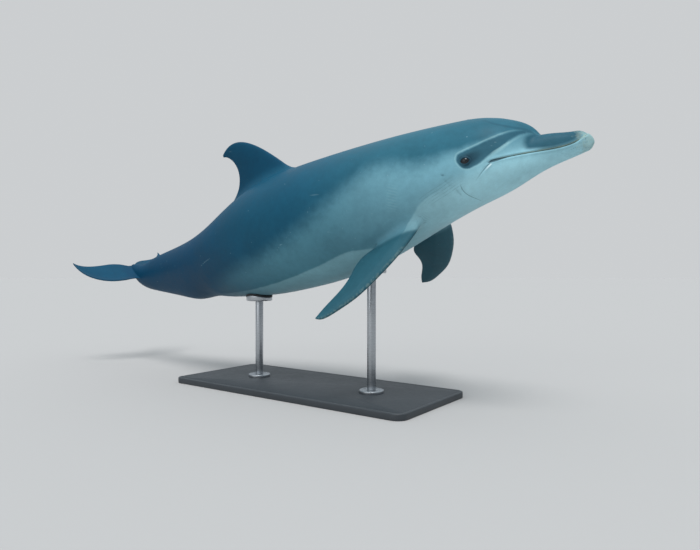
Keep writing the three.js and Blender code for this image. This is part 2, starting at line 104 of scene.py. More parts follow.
# Sharpness of the ridges along the tail stock: the lower the power, the sharper. [station, power]
UPPER_KEEL = [[50, 2], [70, 1.75], [85, 1.5], [95, 1.6], [100, 2]]
LOWER_KEEL = [[55, 2], [70, 1.8], [85, 1.55], [95, 1.7], [100, 2]]
SECTION_POWER = 2.15
BEAK_POWER = 2.3

UPPER_TIP, LOWER_TIP, TAIL_END = 0, -0.57, 98.2  # the last stations of the jaws and of the tail stock
TIP_ROUNDING, CROWN_ROUNDING, TAIL_ROUNDING = 1.2, 0.5, 5  # stations over which each end rounds off
TIP_CROWN, CROWN_DROP = 0.26, 0.45  # height of the crown on the lower jaw's end, and share it sits low
TIP_LEAST = 0.25  # least height that steers the lines over the jaws' blunt ends
TIP_CLEAR = (-0.15, 0.7)  # over these stations the lower jaw's end stops standing clear of the upper
TIP_SWING = (1.15, 3.4)  # over these the lines along the beak swing to even turns round the body
TIP_HANDOVER = (0.75, 1.15)  # over these the jaws' blunt ends hand over to the plain sections
MELON_FRONT, MELON_LENGTH, MELON_BLEND = 5.1, 4.6, 0.35
MELON_START_HEIGHT, MELON_START_WIDTH = 0.25, 0.2  # shares of the head's size at the melon's front
BEAK_SIDE = 0.35  # up to this rise of the ray the beak's side runs into the lower jaw's
BEAK_END = 14

HEAD_TURN = (0.7, -6.8)  # degrees up and to the left at the tip of the beak
# Where the body bends: first and last station, and degrees up and to the left.
BENDS = [[8, 28, -0.7, 6.8], [45, 78, 4.5, 5.3], [75, 102, 8.0, -1.5], [89, 98, 42, 0]]


def clamp01(value):
    return np.clip(value, 0, 1)


def smoothstep(value, low, high):
    part = clamp01((value - low) / (high - low))
    return part * part * (3 - 2 * part)


def mix(a, b, part):
    return a + (b - a) * part


def spline(points):
    """Natural cubic spline through [x, y] points, held at its end values outside them."""
    x, y = np.array(points, float).T
    count = len(x)
    system, right = np.eye(count), np.zeros(count)
    for i in range(1, count - 1):
        before, after = x[i] - x[i - 1], x[i + 1] - x[i]
        system[i, i - 1 : i + 2] = before, 2 * (before + after), after
        right[i] = 6 * ((y[i + 1] - y[i]) / after - (y[i] - y[i - 1]) / before)
    bend = np.linalg.solve(system, right)

    def at(value):
        value = np.clip(value, x[0], x[-1])
        i = np.clip(np.searchsorted(x, value, side="left") - 1, 0, count - 2)
        h, past, left = x[i + 1] - x[i], value - x[i], x[i + 1] - value
        cubic = (bend[i] * left**3 + bend[i + 1] * past**3) / (6 * h)
        return cubic + (y[i] / h - bend[i] * h / 6) * left + (y[i + 1] / h - bend[i + 1] * h / 6) * past

    return at


def straight(points):
    x, y = np.array(points, float).T
    return lambda value: np.interp(value, x, y)


top_at, bottom_at, half_width_at = spline(TOP), spline(BOTTOM), spline(HALF_WIDTH)
middle_at, beak_top_at = spline(MIDDLE), spline(BEAK_TOP)
beak_half_width_at = spline(BEAK_HALF_WIDTH)
upper_keel_at, lower_keel_at = straight(UPPER_KEEL), straight(LOWER_KEEL)


def super_ellipse(across, up, width, height, p, q):
    """Length of the ray (across, up) to the curve |y / width|^p + |z / height|^q = 1."""
    y = np.maximum(np.abs(across), 1e-9) / width
    z = np.maximum(np.abs(up), 1e-9) / height
    reach = 1 / np.hypot(y, z)
    for _ in range(10):
        a, b = (reach * y) ** p, (reach * z) ** q
        reach = reach - (a + b - 1) * reach / (p * a + q * b)
    return reach


def rounded_end(distance, length):
    """Fraction of the full section left near the rounded end of a jaw or of the tail."""
    inside = clamp01(1 - distance / length)
    return np.sqrt(np.maximum(1 - inside * inside, 1e-6))


def soft_max(a, b, width):
    part = clamp01(0.5 + 0.5 * (a - b) / width)
    return b + (a - b) * part + width * part * (1 - part)


def section_reach(station, across, up):
    """How far a section reaches from its middle in the direction of two cosines."""
    middle = middle_at(station)
    end = rounded_end(TAIL_END - station, TAIL_ROUNDING)
    width = half_width_at(station) * end
    lower_end = rounded_end(station - LOWER_TIP, TIP_ROUNDING)
    upper_end = rounded_end(station - UPPER_TIP, TIP_ROUNDING)
    lower_width = width * lower_end
    depth = (middle - bottom_at(station)) * lower_end * end
    lower = super_ellipse(across, up, lower_width, depth, lower_keel_at(station), SECTION_POWER)
    beak_width = beak_half_width_at(station) * upper_end
    beak_height = (beak_top_at(station) - middle) * upper_end
    beak = super_ellipse(across, up, beak_width, beak_height, BEAK_POWER, BEAK_POWER)
    inward = clamp01((station - MELON_FRONT) / MELON_LENGTH)
    rise = np.sqrt(1 - (1 - inward) ** 2)
    head_height = (top_at(station) - middle) * mix(MELON_START_HEIGHT, 1, rise) * end
    head_width = width * mix(MELON_START_WIDTH, 1, rise)
    head = super_ellipse(across, up, head_width, head_height, upper_keel_at(station), SECTION_POWER)
    joined = np.where(station <= MELON_FRONT, beak, soft_max(beak, head, MELON_BLEND))
    away = smoothstep(up / np.hypot(across, up), 0, BEAK_SIDE)
    upper = np.where(station >= BEAK_END, head, mix(lower_width, joined, away))
    return np.where(up <= 0, lower, upper)


def section_point(station, angle):
    """Left and up, in percent, of the skin at an angle round the body, 90 degrees on the left."""
    middle = middle_at(station)
    across = np.sin(angle) * half_width_at(station)
    height = np.where(np.cos(angle) > 0, top_at(station) - middle, middle - bottom_at(station))
    up = np.where(np.abs(np.cos(angle)) < 1e-6, 0, np.cos(angle) * height)
    size = np.hypot(across, up)
    # the end of the beak: the lower jaw's flat shelf, and the upper jaw standing on it
    lower_width = half_width_at(station) * rounded_end(station - LOWER_TIP, TIP_ROUNDING)
    upper_end = rounded_end(station - UPPER_TIP, TIP_ROUNDING)
    upper_width = np.minimum(beak_half_width_at(station) * upper_end, lower_width)
    tip_left = np.sin(angle) * lower_width
    over = clamp01(np.abs(tip_left) / upper_width)
    beak_height = (beak_top_at(station) - middle) * upper_end
    tip_rise = beak_height * (1 - over**BEAK_POWER) ** (1 / BEAK_POWER)
    ahead = 1 - smoothstep(station, *TIP_CLEAR)  # the lower jaw's end is crowned where it stands clear
    crown = TIP_CROWN * ahead * np.sqrt(1 - np.minimum(np.abs(np.sin(angle)), 1) ** 2)
    tip_rise = np.maximum(tip_rise, crown * rounded_end(station - LOWER_TIP, CROWN_ROUNDING))
    middle = middle - CROWN_DROP * TIP_CROWN * ahead
    upper = np.cos(angle) > 1e-6
    part = np.where(upper, 1 - smoothstep(station, *TIP_SWING), 0)
    tip_up = np.maximum(tip_rise, TIP_LEAST * np.cos(angle))
    tip_size = np.hypot(tip_left, tip_up)
    across = mix(across / size, tip_left / tip_size, part)
    up = mix(up / size, tip_up / tip_size, part)
    size = np.hypot(across, up)
    reach = section_reach(station, across / size, up / size)
    part = np.where(upper, 1 - smoothstep(station, *TIP_HANDOVER), 0)
    left = mix(across / size * reach, tip_left, part)
    return left, middle + mix(up / size * reach, tip_rise, part)


SPINE_START, SPINE_END, SPINE_STEPS = -2, 112, 456
SPINE_STEP = (SPINE_END - SPINE_START) / SPINE_STEPS


def spine_axes(station):
    """Unit vectors back along the body's middle line, to its left and up, before climb and bank."""
    pitch, yaw = HEAD_TURN
    for first, last, up, left in BENDS:
        done = smoothstep(station, first, last)
        pitch, yaw = pitch + up * done, yaw + left * done
    pitch, yaw = np.radians(pitch), np.radians(yaw)
    back = np.stack([-np.cos(pitch) * np.cos(yaw), np.cos(pitch) * np.sin(yaw), np.sin(pitch)], -1)
    left = np.stack([np.sin(yaw), np.cos(yaw), np.zeros_like(yaw)], -1)
    return back, left, np.cross(left, back)


middles = SPINE_START + (np.arange(SPINE_STEPS) + 0.5) * SPINE_STEP
spine_points = np.vstack([np.zeros(3), np.cumsum(spine_axes(middles)[0] * SPINE_STEP, axis=0)])
spine_stations = SPINE_START + np.arange(SPINE_STEPS + 1) * SPINE_STEP


def spine_at(station):
    return np.stack([np.interp(station, spine_stations, spine_points[:, k]) for k in range(3)], -1)


climb, bank = np.radians(CLIMB), np.radians(BANK)
pitched = np.array([[np.cos(climb), 0, -np.sin(climb)], [0, 1, 0], [np.sin(climb), 0, np.cos(climb)]])
banked = np.array([[1, 0, 0], [0, np.cos(bank), -np.sin(bank)], [0, np.sin(bank), np.cos(bank)]])
attitude = pitched @ banked


def place(station, left, up):
    """The place in the scene of a point given by its station, left and up, in percent."""
    station, left, up = np.broadcast_arrays(station, left, up)
    station = station.astype(float)
    _, left_axis, up_axis = spine_axes(station)
    offset = spine_at(station) - spine_at(np.array(float(REFERENCE_STATION)))
    offset = offset + left_axis * left[..., None] + up_axis * up[..., None]
    return offset * PERCENT @ attitude.T + REFERENCE_POINT


def skin_point(station, angle):
    return place(station, *section_point(station, angle))


# ---- Fins ----

# Front and rear edges, [back, out] in percent from the front of the root: four points are those of a
# cubic Bezier curve, and through more than four the edge runs as a spline.
DORSAL = {
    "front": [[0, 0], [3.48, 4.42], [9.27, 12.4], [14.78, 9.2]],
    "rear": [[17.6, -0.5], [8.95, 3.14], [12.65, 8.37], [14.82, 8.77]],
    "thickness": 1.1, "taper": 0.8, "depth": 2.2, "root": 43.3, "root_end": 59.1,
}
FLIPPER = {
    "front": [
        [0.13, 0], [0.96, 4.34], [2.46, 8.22], [4.36, 11.62], [6.55, 13.96], [8.68, 15.69], [10.47, 15.95],
    ],
    "rear": [
        [6.18, 3.5], [7.69, 4.78], [8.47, 6.69], [8.34, 8.95], [8.83, 11.39], [9.88, 13.76], [10.57, 15.9],
    ],
    "thickness": 1.15, "taper": 0.7, "depth": 4.4,
}
FLUKE = {
    "front": [[0, 0], [1.75, 4.45], [2.9, 10.6], [9.7, 10.5]],
    "rear": [[5.4, 0], [8.0, 2.3], [6.6, 8.9], [10.1, 10.4]],
    "thickness": 0.75, "taper": 0.7, "depth": 0,
}
# The body's sides are -1, the right, and 1, the left.
FLIPPER_ROOT = {"station": 21.86, "out": 5.3, "up": -6.26}
FLIPPER_SETS = {-1: (22.1, 44.2, -3.1), 1: (11.8, 38.1, 1.6)}  # swept, lowered, twisted: degrees
FLIPPER_COLUMN, FLUKE_COLUMN = 139, 90  # degrees round the body
FLUKE_SETS = {-1: (13, 1.0), 1: (21, 2.0)}  # droop in degrees, curl
FLUKE_ROOT, FLUKE_SPAN = 93, 12
FLUKE_START = 0.1  # share of the span at which the fluke's own rows begin
FLUKE_ROOT_END, FLUKE_ROOT_ROWS = 97.9, 6  # station, and rows over which its root takes its own shape
FLUKE_ROOT_RISE, FLUKE_ROOT_SINK = 0.8, 0.25
FIN_FULLNESS, FIN_TIP_THICKNESS, FIN_EDGE = 5.2, 0.12, 0.03
DORSAL_SINK = 0.2
ROOT_SEARCH = (-1.0, 0.6)  # shares of the span between which a fin comes out of the body
ROW_CROWDING = 1.35  # how much the rows crowd together towards a fin's tip


def edge_at(points, t):
    """A fin's edge at shares t of its span, drawn as its points say."""
    points = np.array(points, float)
    if len(points) > 4:
        shares = np.linspace(0, 1, len(points))
        return np.stack([spline(np.stack([shares, values], 1))(t) for values in points.T], -1)
    weights = [(1 - t) ** 3, 3 * (1 - t) ** 2 * t, 3 * (1 - t) * t**2, t**3]
    return sum(w[..., None] * p for w, p in zip(weights, points))


def fin_point(fin, x, span, side):
    """Back, out and thickness of a fin's surface, x from front edge to rear edge, span from root to tip."""
    t = clamp01(span)
    front, rear = edge_at(fin["front"], t), edge_at(fin["rear"], t)
    # the half thickness of a streamlined section, as a share of its chord
    foil = 0.2969 * np.sqrt(x) - 0.126 * x - 0.3516 * x**2 + 0.2843 * x**3 - 0.1036 * x**4
    thickness = fin["thickness"] * (1 - t) ** fin["taper"] + FIN_TIP_THICKNESS
    edge = FIN_EDGE * (1 - np.abs(2 * x - 1) ** 30)
    back, out = mix(front[..., 0], rear[..., 0], x), mix(front[..., 1], rear[..., 1], x)
    return back, out + np.minimum(span, 0) * fin["depth"], side * (FIN_FULLNESS * foil * thickness + edge)


# Each of these puts a fin's own points on the body, as station, left and up.


def set_dorsal(back, out, thick):
    start = top_at(DORSAL["root"])
    slope = (top_at(DORSAL["root_end"]) - start) / (DORSAL["root_end"] - DORSAL["root"])
    return DORSAL["root"] + back, thick, start - DORSAL_SINK + slope * back + out


def set_flipper(body_side):
    sweep, lowered, twist = (math.radians(a) for a in FLIPPER_SETS[body_side])

    def put(back, out, thick):
        twisted_back = back * math.cos(twist) - thick * math.sin(twist)
        twisted_thick = back * math.sin(twist) + thick * math.cos(twist)
        swept_back = twisted_back * math.cos(sweep) + out * math.sin(sweep)
        swept_out = out * math.cos(sweep) - twisted_back * math.sin(sweep)
        across = FLIPPER_ROOT["out"] + swept_out * math.cos(lowered) + twisted_thick * math.sin(lowered)
        up = FLIPPER_ROOT["up"] - swept_out * math.sin(lowered) + twisted_thick * math.cos(lowered)
        return FLIPPER_ROOT["station"] + swept_back, body_side * across, up

    return put


def set_fluke(body_side):
    droop, curl = FLUKE_SETS[body_side]
    fall = math.tan(math.radians(droop))

    def put(back, out, thick):
        up = thick + curl * (out / FLUKE_SPAN) ** 2 - out * fall
        return FLUKE_ROOT + back, body_side * out, up

    return put


def angle_of(station, left, up):
    """The angle round the body, in degrees, at which a point lies."""
    middle = middle_at(station)
    rise = up - middle
    height = np.where(rise > 0, top_at(station) - middle, middle - bottom_at(station))
    return np.degrees(np.arctan2(left / half_width_at(station), rise / height))


def outside(station, left, up):
    """Above zero outside the body's skin."""
    rise = up - middle_at(station)
    size = np.hypot(left, rise)
    return size / section_reach(station, left / size, rise / size) - 1


def root_span(fin, put, x, side):
    """How far along the span each line of the fin comes out through the body's skin."""
    inner, outer = (np.full(x.shape, span) for span in ROOT_SEARCH)
    for _ in range(40):
        span = (inner + outer) / 2
        out = outside(*put(*fin_point(fin, x, span, side))) > 0
        inner, outer = np.where(out, inner, span), np.where(out, span, outer)
    return (inner + outer) / 2


class Fin:
    """A fin's rows of points from its root on the skin to its tip, as (station, left, up)."""

    def __init__(self, name, fin, put, column_angle, chord_steps, span_steps):
        self.name, self.column_angle, self.steps = name, column_angle, chord_steps
        x = (1 - np.cos(np.linspace(0, np.pi, chord_steps + 1))) / 2
        self.rows = {}
        share = 1 - (1 - np.arange(span_steps + 1) / span_steps) ** ROW_CROWDING
        for side in (1, -1):
            if fin is FLUKE:
                self.rows[side] = self.fluke_rows(put, x, side, share)
            else:
                span = mix(root_span(fin, put, x, side)[None], 1.0, share[:, None])
                self.rows[side] = np.stack(put(*fin_point(fin, x[None], span, side)), -1)
        for end in (0, -1):  # both sides share the front and the rear edge
            shared = (self.rows[1][:, end] + self.rows[-1][:, end]) / 2
            self.rows[1][:, end] = self.rows[-1][:, end] = shared
        angles = {side: angle_of(*self.rows[side][0].T).mean() for side in (1, -1)}
        self.high = 1 if angles[1] > angles[-1] else -1  # the side at the larger angle

    def fluke_rows(self, put, x, side, share):
        """A fluke's rows, drawn at its root onto the side of the tail stock."""
        span = mix(FLUKE_START, 1.0, share)
        rows = np.stack(put(*fin_point(FLUKE, x[None], span[:, None], side)), -1)
        station = mix(rows[0, 0, 0], FLUKE_ROOT_END, x)
        _, _, thick = fin_point(FLUKE, x, np.zeros_like(x), side)
        rise = FLUKE_ROOT_RISE * thick - FLUKE_ROOT_SINK
        angle = np.arctan2(1.0, rise / section_reach(station, np.ones_like(x), np.zeros_like(x)))
        across, up = np.sin(angle), np.cos(angle)
        reach = section_reach(station, across, up)
        sign = np.sign(rows[0, 0, 1])
        root = np.stack([station, sign * across * reach, up * reach], -1)
        part = smoothstep(np.arange(len(share)), 0, FLUKE_ROOT_ROWS)[:, None, None]
        return mix(root[None], rows, part)

    def root(self, high):
        """Where one side meets the skin, from front to rear; high is the side at the larger angle."""
        return self.rows[self.high if high else -self.high][0]


fins = [
    Fin("dorsal_fin", DORSAL, set_dorsal, 0, 46, 26),
    Fin("flipper_right", FLIPPER, set_flipper(-1), -FLIPPER_COLUMN, 32, 32),
    Fin("flipper_left", FLIPPER, set_flipper(1), FLIPPER_COLUMN, 32, 32),
    Fin("fluke_right", FLUKE, set_fluke(-1), -FLUKE_COLUMN, 30, 24),
    Fin("fluke_left", FLUKE, set_fluke(1), FLUKE_COLUMN, 30, 24),
]


# ---- The skin's grid: rings along the body, columns round it ----


def eased(first, last, steps):
    """Stations that crowd together at both ends of a stretch."""
    return first + (last - first) * (1 - np.cos(np.linspace(0, np.pi, steps + 1))) / 2


def root_ends(*chosen):
    """The stations at which the fins' roots begin and end."""
    return [float(np.mean([f.root(True)[end, 0] for f in chosen])) for end in (0, -1)]


dorsal_ends = root_ends(fins[0])
flipper_ends = root_ends(fins[1], fins[2])
fluke_ends = root_ends(fins[3], fins[4])
tip_crowding = 1 - np.cos(np.linspace(0, np.pi / 2, 11)[1:])
# Stretches of rings: first and last station, and how many; then stretches of columns, in degrees.
RING_STRETCHES = [
    [0.35, 4.8, 34], [4.8, 6.3, 20], [6.3, 12, 48], [12, 18, 47], [18, flipper_ends[0], 18],
    [flipper_ends[1], dorsal_ends[0], 30], [dorsal_ends[1], 75, 24], [75, fluke_ends[0], 30],
]
COLUMN_STRETCHES = [
    [0, 14, 8], [14, 60, 13], [60, 80, 12], [80, 100, 22], [100, FLIPPER_COLUMN, 25],
    [FLIPPER_COLUMN, 152, 8],
]
ring_stations = np.unique(np.round(np.concatenate([
    LOWER_TIP * (1 - tip_crowding),
    RING_STRETCHES[0][0] * tip_crowding,
    *(np.linspace(*stretch) for stretch in RING_STRETCHES),
    eased(*dorsal_ends, fins[0].steps),
    eased(*flipper_ends, fins[1].steps),
    eased(*fluke_ends, fins[3].steps),
    TAIL_END - (TAIL_END - fluke_ends[1]) * (1 - tip_crowding[::2]) ** 1.5,
]), 6))
ring_stations = ring_stations[(ring_stations > LOWER_TIP) & (ring_stations < TAIL_END - 1e-3)]
half_angles = np.concatenate([
    *(np.linspace(*stretch, endpoint=False) for stretch in COLUMN_STRETCHES), np.linspace(152, 180, 11)
])
column_angles = np.concatenate([half_angles, half_angles[-2:0:-1] * -1])
RINGS, COLUMNS = len(ring_stations), len(column_angles)


def ring_of(station):
    return int(np.abs(ring_stations - station).argmin())


def half_turn(angle):
    """The same angle between -180 and 180 degrees."""
    return (angle + 180) % 360 - 180


def column_of(angle):
    return int(np.abs(half_turn(column_angles - angle)).argmin())


# Where each vertex lies: the grid's own station and angle, drawn aside round the root of each fin.
station_grid = np.repeat(ring_stations[:, None], COLUMNS, axis=1)
angle_grid = np.repeat(column_angles[None, :], RINGS, axis=0)
# For each fin: its ends, degrees drawn aside, and percent over which that fades before and behind it.
slits = [(dorsal_ends, 40, 4.0, 4.0)] + [(flipper_ends, 32, 3.0, 4.0)] * 2 + [(fluke_ends, 80, 3.0, 0.6)] * 2


def fade(part):
    """1 at no distance, and softly down to 0 at 1."""
    part = clamp01(part)
    return (1 - part) ** 2 * (1 + 2 * part)


station_shift, angle_shift = np.zeros_like(station_grid), np.zeros_like(angle_grid)
for fin, (ends, breadth, before, behind) in zip(fins, slits):
    fin.first, fin.last = ring_of(ends[0]), ring_of(ends[1])
    fin.column = column_of(fin.column_angle)
    turned = half_turn(column_angles - column_angles[fin.column])
    near = fade(np.abs(turned) / breadth)
    for high in (True, False):
        root = fin.root(high)
        aside_station, aside_angle = np.zeros(RINGS), np.zeros(RINGS)
        inside = slice(fin.first, fin.last + 1)
        aside_station[inside] = root[:, 0] - ring_stations[inside]
        aside_angle[inside] = half_turn(angle_of(*root.T) - fin.column_angle)
        for end, reach in ((fin.first, before), (fin.last, behind)):
            beyond = np.arange(RINGS) < end if end == fin.first else np.arange(RINGS) > end
            left_of_it = fade(np.abs(ring_stations - ring_stations[end]) / reach)
            aside_station = np.where(beyond, aside_station[end] * left_of_it, aside_station)
            aside_angle = np.where(beyond, aside_angle[end] * left_of_it, aside_angle)
        half = (turned > 0 if high else turned < 0) * near
        if high:
            half = np.where(turned == 0, 1.0, half)
        station_shift += aside_station[:, None] * half[None]
        angle_shift += aside_angle[:, None] * half[None]
station_grid, angle_grid = station_grid + station_shift, angle_grid + angle_shift


# ---- The eyes' setting in the skin ----

EYE = {"station": 13.9, "above": 6.9, "radius": 19.0, "depth": 13.5}  # above: degrees; others mm
EYE_OPENING = (13.5, 8.8, 1.75)  # half length, half height in mm, and the almond's power
LID_OFFSETS = [0, 0.45, 1.0, 1.8, 2.8, 4.0, 5.2, 6.4, 7.6, 9.0, 11.0]  # mm out from the opening
LID_STAND, LID_RISE, LID_ROUNDING = 0.2, 1.9, 0.8  # mm of the lid over the eyeball, from its edge outwards
LID_FOLD = {"offset": 6.4, "width": 1.3, "depth": 0.8}  # mm
SOCKET_SHARES, SOCKET_SINK = [0.97, 0.85, 0.5], 2.5  # shares of the opening, and mm under the eyeball
EYE_HOLE = (1.15, 11.5)  # half size of the skin cut out for the lids: percent, degrees


class EyePlace:
    """A frame on the skin at one eye: forward, upward and outward."""

    def __init__(self, side):
        self.side, self.turn = side, side * (90 - EYE["above"])
        step = 0.01
        spot = lambda s, a: skin_point(np.array(s), np.radians(a))
        self.origin = spot(EYE["station"], self.turn)
        back = (spot(EYE["station"] + step, self.turn) - self.origin) / step
        down = (spot(EYE["station"], self.turn + side * step) - self.origin) / step
        self.per_station, self.per_degree = np.linalg.norm(back) / MM, np.linalg.norm(down) / MM
        self.forward = -back / np.linalg.norm(back)
        self.outward = np.cross(self.forward, down) * side
        self.outward /= np.linalg.norm(self.outward)
        if self.outward[1] * side < 0:
            self.outward = -self.outward
        self.up = np.cross(self.outward, self.forward) * side
        if self.up[2] < 0:
            self.up = -self.up
        self.centre = self.origin - self.outward * EYE["depth"] * MM

    def local(self, points):
        offset = (points - self.origin) / MM
        return offset @ self.forward, offset @ self.up, offset @ self.outward

    def world(self, x, y, z):
        offset = x[..., None] * self.forward + y[..., None] * self.up + z[..., None] * self.outward
        return self.origin + offset * MM


eye_places = {side: EyePlace(side) for side in (-1, 1)}

# ---- The skin's mesh ----

stations = station_grid.ravel()
turns = angle_grid.ravel()
points = skin_point(stations, np.radians(turns))
FAR = 999.0  # mm, for whatever isn't near
fin_span = np.full(stations.shape, -1.0)  # mm along a fin from its root
fin_front = np.full(stations.shape, FAR)  # mm back from a fin's front edge
fin_kind = np.zeros(stations.shape)  # 0 body, 1 dorsal fin and flukes, 2 flippers
corner_left = np.arange(RINGS * COLUMNS).reshape(RINGS, COLUMNS)
corner_right = corner_left.copy()
body_cells = np.ones((RINGS - 1, COLUMNS), bool)
quads, quad_maps, triangles, triangle_maps, root_vertices = [], [], [], [], {}

# The unwrap: the body is one patch, and each fin has two more to its right, one for each face.
STATION_SHARE = [[-1, 0], [6, 0.16], [18, 0.46], [30, 0.6], [60, 0.8], [99, 1]]  # of the body patch
BODY_PATCH, BODY_MARGIN = (0.78, 0.98), (0.006, 0.01)  # width and height
FIN_PATCH, FIN_PATCH_STEP, FIN_MARGIN = (0.083, 0.18), (0.09, 0.2), (0.81, 0.01)


def unwrap(station, turn):
    across = (turn + 180) / 360 * BODY_PATCH[0]
    down = straight(STATION_SHARE)(station) * BODY_PATCH[1]
    return np.stack([across + BODY_MARGIN[0], down + BODY_MARGIN[1]], -1)


def add_points(new, station, turn, span=-1.0, front=FAR, kind=0):
    """Adds vertices of the skin and what is known of each; gives back their numbers."""
    global points, stations, turns, fin_span, fin_front, fin_kind
    first = len(points)
    shape = (len(new),)
    points = np.vstack([points, new])
    stations = np.append(stations, np.broadcast_to(station, shape))
    turns = np.append(turns, np.broadcast_to(turn, shape))
    fin_span = np.append(fin_span, np.broadcast_to(span, shape))
    fin_front = np.append(fin_front, np.broadcast_to(front, shape))
    fin_kind = np.append(fin_kind, np.broadcast_to(float(kind), shape))
    return np.arange(first, first + len(new))


def add_quads(corners, maps):
    quads.append(np.stack(corners, -1).reshape(-1, 4))
    quad_maps.append(np.stack(maps, -2).reshape(-1, 4, 2))


def add_triangles(corners, maps):
    triangles.append(np.stack(corners, -1).reshape(-1, 3))
    triangle_maps.append(np.stack(maps, -2).reshape(-1, 3, 2))


def bridge(outer, inner, outer_map, inner_map):
    """A closed strip of quads between two loops of equal length."""
    turn = lambda a: np.roll(a, -1, axis=0)
    add_quads(
        [outer, turn(outer), turn(inner), inner],
        [outer_map, turn(outer_map), turn(inner_map), inner_map],
    )


def grow_fin(fin, patch):
    """Opens the skin along the fin's root and runs its rows of points out to the tip."""
    high, low = fin.rows[fin.high], fin.rows[-fin.high]
    inner = slice(fin.first + 1, fin.last)
    high_root = corner_left[fin.first : fin.last + 1, fin.column].copy()
    points[high_root] = place(*high[0].T)
    low_root = high_root.copy()
    low_points = place(*low[0, 1:-1].T)
    low_root[1:-1] = add_points(low_points, stations[high_root[1:-1]], turns[high_root[1:-1]])
    corner_right[inner, fin.column] = low_root[1:-1]
    root_vertices[fin.name] = np.concatenate([high_root, low_root[1:-1]])
    kind = 2 if "flipper" in fin.name else 1
    chord = np.linalg.norm(place(*high[:, 0].T) - place(*high[:, -1].T), axis=1) / MM
    x = (1 - np.cos(np.linspace(0, np.pi, fin.steps + 1))) / 2
    for number, (rows, root) in enumerate(((high, high_root), (low, low_root))):
        fin_rows = [root]
        span = np.zeros(fin.steps + 1)
        last = place(*rows[0].T)
        for k in range(1, len(rows)):
            here = place(*rows[k].T)
            span = span + np.linalg.norm(here - last, axis=1) / MM
            last = here
            if number == 0:
                new = add_points(here, stations[root], turns[root], span, x * chord[k], kind)
            else:
                new = high_rows[k].copy()
                new[1:-1] = add_points(
                    here[1:-1], stations[root[1:-1]], turns[root[1:-1]],
                    span[1:-1], x[1:-1] * chord[k], kind,
                )
            fin_rows.append(new)
        if number == 0:
            high_rows = fin_rows
        grid = np.array(fin_rows)
        u = FIN_MARGIN[0] + FIN_PATCH_STEP[0] * number + FIN_PATCH[0] * x
        v = FIN_MARGIN[1] + FIN_PATCH_STEP[1] * patch + FIN_PATCH[1] * np.linspace(0, 1, len(grid))
        maps = np.stack(np.meshgrid(u, v), -1)
        add_quads(
            [grid[:-1, :-1], grid[:-1, 1:], grid[1:, 1:], grid[1:, :-1]],
            [maps[:-1, :-1], maps[:-1, 1:], maps[1:, 1:], maps[1:, :-1]],
        )
        tip, tip_map = grid[-1], maps[-1]
        if number == 0:
            high_tip, high_map = tip, tip_map
    add_quads(
        [high_tip[1:-2], high_tip[2:-1], tip[2:-1], tip[1:-2]],
        [high_map[1:-2], high_map[2:-1], tip_map[2:-1], tip_map[1:-2]],
    )
    for end, inside in ((0, 1), (-1, -2)):
        add_triangles(
            [high_tip[[end]], high_tip[[inside]], tip[[inside]]],
            [high_map[[end]], high_map[[inside]], tip_map[[inside]]],
        )


def set_lids(eye):
    """Cuts the skin open round an eye and fills the gap with the socket, the lids and the folds."""
    rings = ring_of(EYE["station"] - EYE_HOLE[0]), ring_of(EYE["station"] + EYE_HOLE[0])
    columns = sorted(column_of(eye.turn + turn) for turn in (-EYE_HOLE[1], EYE_HOLE[1]))
    body_cells[rings[0] : rings[1], columns[0] : columns[1]] = False
    border = corner_left[rings[0], columns[0] : columns[1]].tolist()
    border += corner_left[rings[0] : rings[1], columns[1]].tolist()
    border += corner_left[rings[1], columns[1] : columns[0] : -1].tolist()
    border += corner_left[rings[1] : rings[0] : -1, columns[0]].tolist()
    border = np.array(border)
    x = -(stations[border] - EYE["station"]) * eye.per_station
    y = -(np.abs(turns[border]) - abs(eye.turn)) * eye.per_degree
    half_length, half_height, power = EYE_OPENING
    size = (np.abs(x / half_length) ** power + np.abs(y / half_height) ** power) ** (1 / power)
    rim_x, rim_y = x / size, y / size
    gap = np.hypot(x - rim_x, y - rim_y)
    loops = [(border, unwrap(stations[border], turns[border]))]

    def add_loop(at_x, at_y, offset, inside):
        station = EYE["station"] - at_x / eye.per_station
        turn = np.sign(eye.turn) * (abs(eye.turn) - at_y / eye.per_degree)
        here_x, here_y, here_z = eye.local(skin_point(station, np.radians(turn)))
        away = np.hypot(here_x, here_y)
        lid = LID_STAND + LID_RISE * (1 - math.exp(-offset / LID_ROUNDING))
        radius = EYE["radius"] + (-SOCKET_SINK if inside else lid)
        dome = np.sqrt(np.maximum(radius**2 - away**2, 0)) - EYE["depth"]
        fold = LID_FOLD["depth"] * math.exp(-(((offset - LID_FOLD["offset"]) / LID_FOLD["width"]) ** 2))
        height = dome if inside else soft_max(here_z, dome, 2.0) - fold
        loop = add_points(eye.world(here_x, here_y, height), station, turn)
        loops.append((loop, unwrap(station, turn)))

    for offset in LID_OFFSETS[::-1]:
        part = offset / gap
        add_loop(mix(rim_x, x, part), mix(rim_y, y, part), offset, False)
    for share in SOCKET_SHARES:
        add_loop(rim_x * share, rim_y * share, 0, True)
    for (outer, outer_map), (inner, inner_map) in zip(loops, loops[1:]):
        bridge(outer, inner, outer_map, inner_map)
    inner, inner_map = loops[-1]
    floor_z = np.array([EYE["radius"] - SOCKET_SINK - EYE["depth"]])
    middle = add_points(eye.world(np.zeros(1), np.zeros(1), floor_z), EYE["station"], eye.turn)
    around = np.broadcast_to(middle, inner.shape)
    middle_map = np.broadcast_to(unwrap(EYE["station"], eye.turn), inner_map.shape)
    add_triangles([inner, np.roll(inner, -1), around], [inner_map, np.roll(inner_map, -1, 0), middle_map])


for patch, fin in enumerate(fins):
    grow_fin(fin, patch)
for eye in eye_places.values():
    set_lids(eye)

